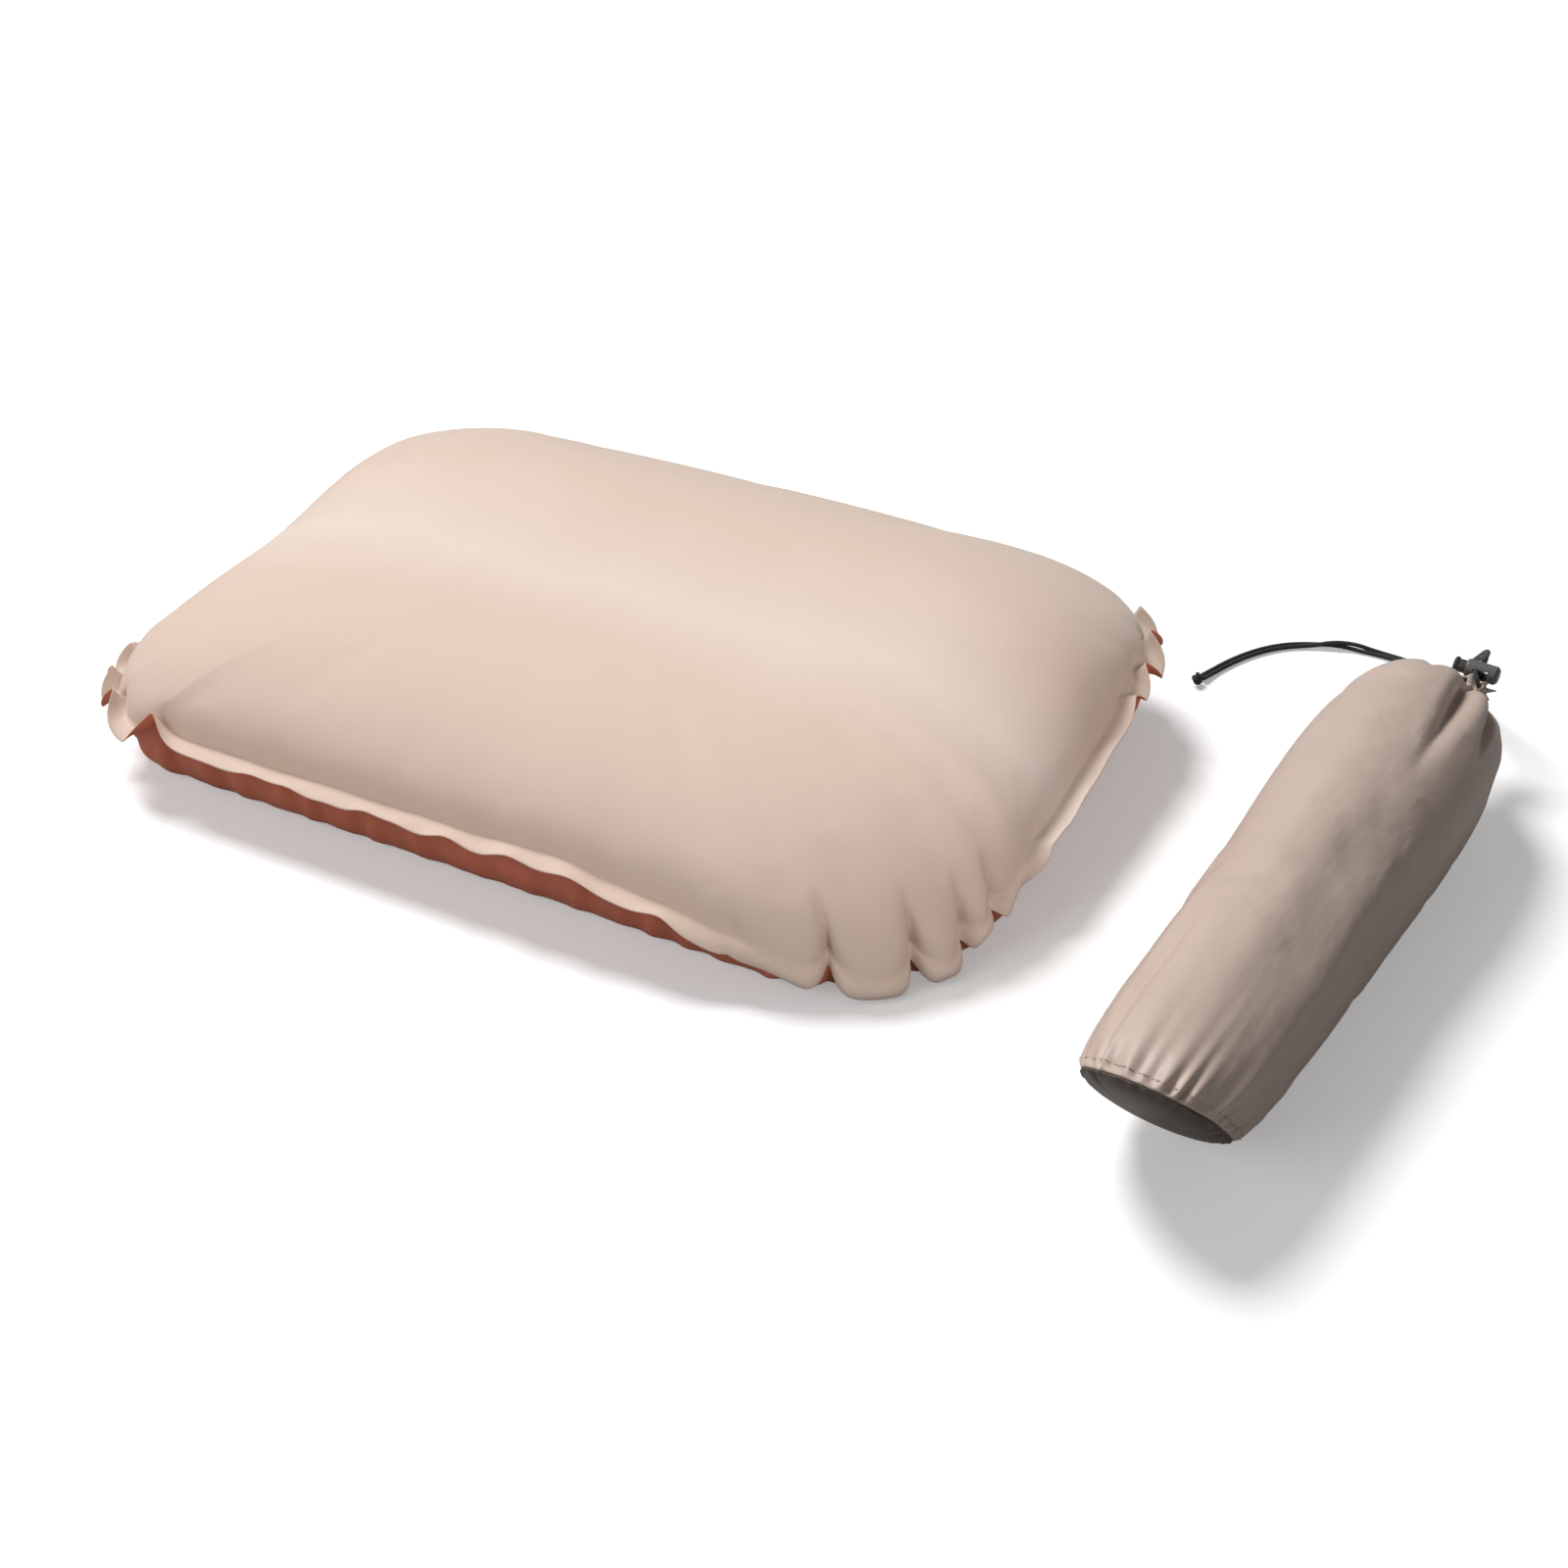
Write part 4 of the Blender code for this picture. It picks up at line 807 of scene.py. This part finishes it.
def sack_surface(along, angles, inset=0.0):
    """A ring of the sack's cloth, in the sack's own frame, with its pleats, creases and base puckers."""
    radius = float(sack_radius(np.array([along]))[0]) - inset
    depth = np.zeros_like(angles)
    for centre, share, width, reach in MOUTH_PLEATS:
        start = RING_STATION - reach - 0.02
        grow = float(smoothstep(np.array((along - start) / (reach * 0.9))))
        spread = math.radians(width) * (1.0 - 0.35 * (1 - grow))
        gap = turned_gap(angles, math.radians(centre))
        tip = 0.05
        valley = np.exp(-(np.sqrt(gap ** 2 + tip ** 2) - tip) / (0.55 * spread))
        depth += share * radius * grow ** 1.4 * valley
        ridge = np.exp(-((np.abs(gap) - 1.15 * spread) / (0.6 * spread)) ** 2)
        depth -= 0.10 * share * radius * grow ** 1.4 * ridge
    for centre, drift, deep, width, first, last in LONG_CREASES:
        share = (along - first) / (last - first)
        if 0 < share < 1:
            window = math.sin(math.pi * share) ** 0.7
            gap = turned_gap(angles, math.radians(centre + drift * share))
            depth += deep * window * np.exp(-(gap / math.radians(width)) ** 2)
    near_base = math.exp(-max(along - 0.003, 0.0) / 0.012) * float(smoothstep(np.array(along / 0.003)))
    pucker = np.sin(angles * 27 + 1.3 * np.sin(angles * 5) + 0.8 * np.sin(angles * 11 + 1))
    depth += near_base * 0.0014 * (pucker * (0.7 + 0.3 * np.sin(angles * 7)) + 0.5)
    longer = math.exp(-max(along - 0.006, 0.0) / 0.030) * float(smoothstep(np.array(along / 0.008)))
    depth += longer * 0.0016 * np.maximum(0.0, np.sin(angles * 9 + 2.0 * np.sin(angles * 2))) ** 2
    reach = radius - depth
    slant = BASE_SLANT * min(max(1 - along / SLANT_FADE, 0.0), 1.0)
    up = reach * np.sin(angles)
    across = float(sack_across(np.array([along]))[0]) + reach * np.cos(angles)
    height = float(sack_height(np.array([along]))[0]) + up
    return stack(across, along - slant * up, soft_floor(height, 0.0005))


def soft_floor(height, floor, reach=0.0025):
    """Heights kept above the floor, flattening gently as they near it."""
    over = (height - floor) / reach
    return floor + reach * np.where(over > 4, over, np.log1p(np.exp(np.minimum(over * 3, 30))) / 3)


def to_world(points):
    """From the sack's own frame to the row frame."""
    matrix = np.array(SACK_PLACE)
    return np.asarray(points) @ matrix[:3, :3].T + matrix[:3, 3]


SACK_ANGLES = np.linspace(0, TAU, 300, endpoint=False)


def build_sack():
    """The sack's cloth as a closed form: outside from base seam to mouth, a curled lip, and the inside."""
    angles = SACK_ANGLES
    stations = np.concatenate([
        np.linspace(0.0, 0.030, 26, endpoint=False), np.linspace(0.030, 0.180, 50, endpoint=False),
        np.linspace(0.180, RING_STATION - HEM_TUBE, 78),
    ])
    rings = [sack_surface(station, angles) for station in stations]
    inner = [sack_surface(station, angles, 0.0007) for station in (stations[-1], stations[-1] - 0.004)]
    rings += mouth_lip(angles) + inner
    start_pole = rings[0].mean(axis=0)[None, :]
    end_pole = rings[-1].mean(axis=0)[None, :]
    end_pole[0, 1] -= 0.004
    girth = angles * MOUTH_RADIUS
    uv, travelled = [], 0.0
    for index, ring in enumerate(rings):
        if index:
            travelled += float(np.mean(np.linalg.norm(ring - rings[index - 1], axis=1)))
        uv.append(np.stack([np.full_like(girth, travelled), girth], 1))
    points, faces = skin(rings, start_pole=start_pole, end_pole=end_pole)
    faces = [face[::-1] for face in faces]
    uv = np.vstack([np.concatenate(uv), [[0.0, 0.0]], [[travelled, 0.0]]])
    sack = mesh_piece("sack_cloth", to_world(points), faces, SATIN_CLOTH, uv)
    near_base = 1 - smoothstep((points[:, 1] - 0.004) / 0.020)
    near_mouth = smoothstep((points[:, 1] - SACK_LENGTH + 0.010) / 0.030)
    on_floor = 1 - smoothstep((points[:, 2] - 0.001) / 0.006)
    held = np.maximum.reduce([near_base, near_mouth, on_floor])
    settle(sack, held, voxel=0.0045, pressure=2.0, swell=0.0090, cap=0.003, amount=0.40)
    return sack


def mouth_lip(angles):
    """The ruffled edge of cloth that flares out ahead of the drawcord's channel."""
    rings = []
    centre_x = MOUTH_OFFSET
    centre_z = float(sack_height(np.array([RING_STATION]))[0])
    ruffle = np.sin(angles * 9 + 1.1 * np.sin(angles * 2)) + 0.5 * np.sin(angles * 4 + 0.7)
    for ahead, radius, wave in ((0.0012, 0.0062, 0.0004), (0.0028, 0.0056, 0.0008), (0.0048, 0.0060, 0.0014),
                                (0.0068, 0.0072, 0.0020), (0.0084, 0.0086, 0.0026), (0.0090, 0.0090, 0.0028),
                                (0.0088, 0.0083, 0.0028), (0.0074, 0.0068, 0.0021), (0.0052, 0.0052, 0.0014),
                                (0.0028, 0.0046, 0.0008)):
        under_lock = np.exp(-(turned_gap(angles, math.pi / 2) / 1.15) ** 4)
        free = 1 - 0.55 * under_lock
        reach = radius * (1 - 0.11 * under_lock) + wave * ruffle * 0.7 * free
        along = (RING_STATION - HEM_TUBE + ahead * (1 - 0.42 * under_lock)
                 + 0.35 * wave * np.cos(angles * 9) * free)
        rings.append(stack(centre_x + reach * np.cos(angles), along, centre_z + reach * np.sin(angles)))
    return rings


def build_sack_base():
    """The dark disc sewn into the bottom, domed by what presses on it, with its turned seam. Its colour is dark
    taupe cloth darkened further to the shade it lies in facing the floor: partly painted shade.
    """
    angles = SACK_ANGLES
    rim = sack_surface(0.0, angles)
    middle = rim.mean(axis=0)
    rings = []
    pucker = np.sin(angles * 27 + 1.3 * np.sin(angles * 5) + 0.8 * np.sin(angles * 11 + 1))
    for share, out, wave in ((1.000, 0.0006, 0.0), (0.996, 0.0012, 0.0003), (0.975, 0.0016, 0.0005),
                             (0.955, 0.0016, 0.0004), (0.92, 0.0026, 0.0002), (0.85, 0.0042, 0.0001),
                             (0.74, 0.0055, 0.0), (0.60, 0.0066, 0.0), (0.42, 0.0075, 0.0), (0.2, 0.0080, 0.0)):
        ring = middle + (rim - middle) * share
        ring[:, 1] -= out + wave * pucker
        ring[:, 2] = np.maximum(ring[:, 2], 0.0005)
        rings.append(ring)
    back = middle + (rim - middle) * 0.9
    back[:, 1] += 0.0012
    rings.insert(0, back)
    start_pole = middle[None, :] + (0.0, 0.0012, 0.0)
    end_pole = middle[None, :] - (0.0, 0.0081, 0.0)
    points, faces = skin(rings, start_pole=start_pole, end_pole=end_pole)
    uv = points[:, (0, 2)]
    return mesh_piece("sack_base_disc", to_world(points), faces, DISC_CLOTH_AND_SHADE, uv)


def braided_tube(name, line, radius, finish, sides=14, relief=0.0, closed=False):
    """A round cord along a line, its UV running along and around it. An open one has rounded ends."""
    line = np.asarray(line, dtype=float)
    ahead = np.roll(line, -1, 0) - np.roll(line, 1, 0) if closed else np.gradient(line, axis=0)
    ahead /= np.linalg.norm(ahead, axis=1)[:, None]
    aside = np.cross(ahead[0], (0.0, 0.0, 1.0))
    if np.linalg.norm(aside) < 0.2:
        aside = np.cross(ahead[0], (1.0, 0.0, 0.0))
    turns = np.linspace(0, TAU, sides, endpoint=False)
    gaps = np.linalg.norm(np.diff(line, axis=0), axis=1)
    places = np.concatenate([[0.0], np.cumsum(gaps)])
    stops = [(index, 0.0, 1.0) for index in range(len(line))]
    if not closed:
        stops = [(0, -0.375, 0.66), (0, -0.175, 0.94), *stops, (-1, 0.175, 0.94), (-1, 0.375, 0.66)]
    frames = []
    for direction in ahead:
        aside = aside - direction * aside.dot(direction)
        aside /= np.linalg.norm(aside)
        frames.append((aside.copy(), np.cross(direction, aside)))
    rings, uv = [], []
    for index, beyond, share in stops:
        first, second = frames[index]
        place = places[index] + radius * beyond
        steps = place * TAU / BRAID_PITCH
        braid = np.maximum(np.sin(steps + turns * 4), np.sin(steps - turns * 4))
        reach = (radius * share * (1 + relief * braid))[:, None]
        around = np.cos(turns)[:, None] * first + np.sin(turns)[:, None] * second
        rings.append(line[index] + ahead[index] * radius * beyond + reach * around)
        uv.append(np.stack([np.full(sides, place), turns / TAU], 1))
    if closed:
        points, faces = skin(rings + rings[:1])
        uv = np.concatenate([*uv, uv[0] + (places[-1] + gaps.mean(), 0.0)])
    else:
        points, faces = skin(rings, line[:1] - ahead[0] * radius * 0.45, line[-1:] + ahead[-1] * radius * 0.45)
        uv = np.vstack([*uv, [[-radius, 0.0]], [[places[-1] + radius, 0.0]]])
    return mesh_piece(name, points, faces, finish, uv)


def catmull_rom(rows, place):
    """A smooth reading of evenly numbered rows of numbers, at a fractional row."""
    index = min(int(place), len(rows) - 2)
    t = place - index
    p0, p1, p2 = rows[max(index - 1, 0)], rows[index], rows[index + 1]
    p3 = rows[min(index + 2, len(rows) - 1)]
    bend, twist = 2 * p0 - 5 * p1 + 4 * p2 - p3, 3 * p1 - p0 - 3 * p2 + p3
    return (2 * p1 + (p2 - p0) * t + bend * t ** 2 + twist * t ** 3) / 2


def strand_line(side):
    """The middle line of one free strand, in the row frame."""
    rows = np.array(CORD_ROUTE)
    fine = np.array([catmull_rom(rows, i / 30) for i in range(30 * (len(rows) - 1) + 1)])
    centres = fine[:, :3] + (MOUTH_OFFSET, RING_STATION, 0.0)
    ahead = np.gradient(centres, axis=0)
    ahead /= np.linalg.norm(ahead, axis=1)[:, None]
    across = np.cross(ahead, (0.0, 0.0, 1.0))
    across /= np.linalg.norm(across, axis=1)[:, None]
    up = np.cross(across, ahead)
    roll = np.radians(fine[:, 3])[:, None]
    line = centres + (across * np.cos(roll) + up * np.sin(roll)) * side * fine[:, 4:5]
    travelled = np.concatenate([[0.0], np.cumsum(np.linalg.norm(np.diff(line, axis=0), axis=1))])
    wanted = np.linspace(0, travelled[-1], int(travelled[-1] / 0.0008))
    even = np.stack([np.interp(wanted, travelled, line[:, c]) for c in range(3)], 1)
    return to_world(even)


def build_cords():
    """Two free strands, the cord inside the hem, and the overhand knot that joins the strands."""
    lines = {side: strand_line(side) for side in (1, -1)}
    strands = [
        braided_tube("drawcord_strand_a", lines[1], CORD_DIAMETER / 2, BRAID, relief=0.035),
        braided_tube("drawcord_strand_b", lines[-1], CORD_DIAMETER / 2, BRAID, relief=0.035),
    ]
    opening = math.radians(HEM_OPENING)
    sweep = np.linspace(math.pi - opening, TAU + opening, 90)
    ring = stack(MOUTH_OFFSET + HEM_RING * np.cos(sweep), np.full_like(sweep, RING_STATION),
                 HEM_HEIGHT + HEM_RING * np.sin(sweep))
    loop = braided_tube("drawcord_in_hem", to_world(ring), CORD_DIAMETER / 2, BRAID, relief=0.035)
    turns = np.linspace(0, TAU, 220, endpoint=False)
    knot = stack((2 + np.cos(3 * turns)) * np.cos(2 * turns), (2 + np.cos(3 * turns)) * np.sin(2 * turns),
                 1.35 * np.sin(3 * turns)) * KNOT_SCALE
    tilt = np.array(Matrix.Rotation(math.radians(62), 3, "Y") @ Matrix.Rotation(math.radians(20), 3, "Z"))
    knot = knot @ tilt.T
    knot += (MOUTH_OFFSET + KNOT_PLACE[0], RING_STATION + KNOT_PLACE[1], KNOT_RADIUS + 0.0003)
    tied = braided_tube("drawcord_overhand_knot", to_world(knot), KNOT_CORD_RADIUS, BRAID, relief=0.03, closed=True)
    return strands, loop, tied, lines


def build_spring():
    """The lock's coil spring, built in place of the imported one and carried with the cord lock."""
    low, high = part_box("lock_spring")
    middle = (low + high) / 2
    press = Vector((math.cos(LOCK_TURN), math.sin(LOCK_TURN), 0.0))
    aside, up = Vector((-press.y, press.x, 0.0)), Vector((0.0, 0.0, 1.0))
    coil_radius = (high.z - low.z) / 2 - SPRING_WIRE
    half_length = (high.x - low.x - 2 * coil_radius * abs(press.y)) / (2 * press.x) - SPRING_WIRE
    line = []
    for step in range(SPRING_STEPS + 1):
        share = step / SPRING_STEPS
        angle = TAU * SPRING_TURNS * share
        outward = aside * math.cos(angle) + up * math.sin(angle)
        line.append(middle + press * half_length * (2 * share - 1) + outward * coil_radius)
    spring = braided_tube("lock_coil", line, SPRING_WIRE, SPRING_STEEL, sides=8)
    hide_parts("lock_spring")
    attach(spring, "cord_lock")
    far_end = middle + press * (half_length + SPRING_WIRE)
    length = 2 * (half_length + SPRING_WIRE)
    1 - BUTTON_TRAVEL / length
    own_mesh(spring)


def build_hem():
    """The hem's channel round the mouth: a puckered tube of cloth, open on top where the strands come out."""
    half_gap = math.radians(45)
    sweep = np.linspace(math.pi / 2 + half_gap, math.pi * 2.5 - half_gap, 240)
    turns = np.linspace(0, TAU, 28, endpoint=False)
    aside = np.sin(turns)[:, None] * (0, 1, 0)
    rings, uv = [], []
    shares = [(0, 0.62), (0, 0.86)] + [(i, 1.0) for i in range(len(sweep))] + [(-1, 0.86), (-1, 0.62)]
    for index, size in shares:
        angle = sweep[index]
        outward = np.array([math.cos(angle), 0.0, math.sin(angle)])
        centre = np.array([MOUTH_OFFSET, RING_STATION, HEM_HEIGHT]) + outward * HEM_RING
        pucker = 1 + 0.10 * math.sin(angle * 17 + 1.2 * math.sin(angle * 3)) * np.cos(turns - 0.4)
        reach = HEM_TUBE * size * pucker
        rings.append(centre + reach[:, None] * (np.cos(turns)[:, None] * outward + aside))
        uv.append(np.stack([np.full_like(turns, angle * HEM_RING), turns * HEM_TUBE], 1))
    points, faces = skin(rings, rings[0].mean(axis=0)[None, :], rings[-1].mean(axis=0)[None, :])
    uv = np.vstack([*uv, uv[0][:1], uv[-1][:1]])
    return mesh_piece("sack_hem_channel", to_world(points), faces, SATIN_CLOTH, uv)


# ---------------------------------------------------------------- stitches
def stitch_tree():
    """A node tree that lays evenly spaced stitches along a curve."""
    tree = bpy.data.node_groups.new("stitch_row", "GeometryNodeTree")
    inputs = {"Geometry": "Geometry", "Spacing": "Float", "Stitch Length": "Float", "Thread Radius": "Float",
              "Finish": "Material"}
    for name, kind in inputs.items():
        tree.interface.new_socket(name, in_out="INPUT", socket_type="NodeSocket" + kind)
    tree.interface.new_socket("Geometry", in_out="OUTPUT", socket_type="NodeSocketGeometry")
    start, end = tree.nodes.new("NodeGroupInput"), tree.nodes.new("NodeGroupOutput")
    points, line, circle, thread, place, realize, paint = (tree.nodes.new("GeometryNode" + kind) for kind in (
        "CurveToPoints", "CurvePrimitiveLine", "CurvePrimitiveCircle", "CurveToMesh", "InstanceOnPoints",
        "RealizeInstances", "SetMaterial"))
    points.mode, line.mode = "LENGTH", "DIRECTION"
    line.inputs["Direction"].default_value = (0.0, 0.0, 1.0)
    circle.inputs["Resolution"].default_value = 6
    thread.inputs["Fill Caps"].default_value = True
    for source, output, target, socket in (
        (start, "Geometry", points, "Curve"), (start, "Spacing", points, "Length"),
        (start, "Stitch Length", line, "Length"), (start, "Thread Radius", circle, "Radius"),
        (line, "Curve", thread, "Curve"), (circle, "Curve", thread, "Profile Curve"),
        (points, "Points", place, "Points"), (points, "Rotation", place, "Rotation"),
        (thread, "Mesh", place, "Instance"), (place, "Instances", realize, "Geometry"),
        (realize, "Geometry", paint, "Geometry"), (start, "Finish", paint, "Material"),
        (paint, "Geometry", end, "Geometry"),
    ):
        tree.links.new(source.outputs[output], target.inputs[socket])
    return tree


def stitch_row(name, line):
    """A row of stitches along a closed line of points, as a plain mesh."""
    tree = stitch_tree()
    curve = bpy.data.curves.new(name + "_line", "CURVE")
    curve.dimensions = "3D"
    spline = curve.splines.new("POLY")
    spline.points.add(len(line) - 1)
    for target, point in zip(spline.points, line):
        target.co = (*point, 1.0)
    spline.use_cyclic_u = True
    guide = bpy.data.objects.new(name + "_guide", curve)
    bpy.context.scene.collection.objects.link(guide)
    change = guide.modifiers.new("stitches", "NODES")
    change.node_group = tree
    values = {"Spacing": 0.0030, "Stitch Length": 0.0021, "Thread Radius": 0.00017, "Finish": STITCH_THREAD}
    for item in tree.interface.items_tree:
        if item.in_out == "INPUT" and item.name in values:
            change[item.identifier] = values[item.name]
    graph = bpy.context.evaluated_depsgraph_get()
    mesh = bpy.data.meshes.new_from_object(guide.evaluated_get(graph))
    guide.modifiers.clear()
    bpy.data.objects.remove(guide)
    mesh.name = name
    piece = bpy.data.objects.new(name, mesh)
    bpy.context.scene.collection.objects.link(piece)
    return piece


def build_stitches():
    """The row that sews the base disc in, just off the cloth."""
    seam = sack_surface(0.0042, SACK_ANGLES)
    middle = seam.mean(axis=0)
    return stitch_row("base_seam_stitches", to_world(middle + (seam - middle) * 1.004))


# ---------------------------------------------------------------- stage
def aimed(name, data, place, target):
    """A lamp or camera at a place, pointed at a target."""
    obj = bpy.data.objects.new(name, data)
    obj.location = place
    obj.rotation_mode = "QUATERNION"
    obj.rotation_quaternion = (target - place).to_track_quat("-Z", "Y")
    bpy.context.scene.collection.objects.link(obj)
    return obj


def build_stage(pillow_pieces):
    """Pale floor, soft lights and the camera. One fill reaches only the pillow."""
    floor_mesh = bpy.data.meshes.new("studio_floor")
    floor_mesh.from_pydata([(-6, -6, 0), (6, -6, 0), (6, 6, 0), (-6, 6, 0)], [], [(0, 1, 2, 3)])
    floor = bpy.data.objects.new("studio_floor", floor_mesh)
    floor.location.z = -0.0002
    paper = Finish("studio_paper", Roughness=0.9, Specular_IOR_Level=0.0)
    seen = paper.node("LightPath", output=0)
    paper.colour(paper.blend(seen, (0.45, 0.45, 0.45, 1.0), (0.93, 0.93, 0.93, 1.0)))
    paper.feed(paper.shader.inputs["Emission Color"], paper.blend(seen, (0, 0, 0, 1), (0.30, 0.30, 0.30, 1.0)))
    paper.shader.inputs["Emission Strength"].default_value = 1.0
    floor_mesh.materials.append(paper.material)
    bpy.context.scene.collection.objects.link(floor)
    world = bpy.data.worlds.new("studio")
    bpy.context.scene.world = world
    world.use_nodes = True
    back = world.node_tree.nodes["Background"]
    sight = world.node_tree.nodes.new("ShaderNodeLightPath")
    level = world.node_tree.nodes.new("ShaderNodeMapRange")
    level.inputs["To Min"].default_value, level.inputs["To Max"].default_value = 0.15, 1.0
    world.node_tree.links.new(sight.outputs["Is Camera Ray"], level.inputs["Value"])
    world.node_tree.links.new(level.outputs["Result"], back.inputs["Strength"])
    back.inputs["Color"].default_value = (1.0, 1.0, 1.0, 1.0)
    aim = Vector((0.10, 0.0, 0.05))
    for name, place, size, watts, lit in (
        ("key", (-1.80, 0.85, 3.05), 1.4, 123.0, ()),
        ("front_fill", (-1.20, -2.20, 1.60), 1.8, 20.0, ()),
        ("right_fill", (1.90, -1.60, 1.90), 1.8, 38.0, pillow_pieces),
    ):
        lamp = bpy.data.lights.new(name, "AREA")
        lamp.shape, lamp.size, lamp.energy = "DISK", size, watts
        obj = aimed(name, lamp, Vector(place), aim)
        if lit:
            receivers = bpy.data.collections.new(name + "_receivers")
            for piece in lit:
                receivers.objects.link(piece)
            obj.light_linking.receiver_collection = receivers
    camera = bpy.data.cameras.new("camera")
    camera.lens, camera.sensor_width = LENS, SENSOR
    camera.clip_start, camera.clip_end = 0.05, 30.0
    bpy.context.scene.camera = aimed("camera", camera, EYE, AIM)
    bpy.context.scene.view_settings.view_transform = "Standard"


# ---------------------------------------------------------------- the whole scene
def main():
    top, base = build_cover()
    for piece, slot in ((top, "beige_knit"), (base, "rust_weave")):
        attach(piece, "pillow")
    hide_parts("top_shell", "foam_core")
    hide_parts("bottom_shell")

    sack, disc, hem = build_sack(), build_sack_base(), build_hem()
    for piece, slot in ((sack, "taupe_satin"), (disc, "dark_taupe"), (hem, "taupe_satin")):
        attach(piece, "sack")
    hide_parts("sack_body", "packed_roll")
    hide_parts("sack_base")
    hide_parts("sack_hem")
    stitches = build_stitches()
    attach(stitches, "sack")

    strands, loop, knot, lines = build_cords()
    nodes = ("drawcord_tail_a", "drawcord_tail_b", "drawcord_loop", "drawcord_knot")
    for piece, node in zip((*strands, loop, knot), nodes):
        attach(piece, "sack")
        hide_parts(node)
    for piece, side in zip(strands, (1, -1)):
        line = lines[side]
        length = float(np.sum(np.linalg.norm(np.diff(line, axis=0), axis=1)))
        tuple(line[0])
        [knot] if side == 1 else []
    build_spring()
    build_stage((top, base))


main()
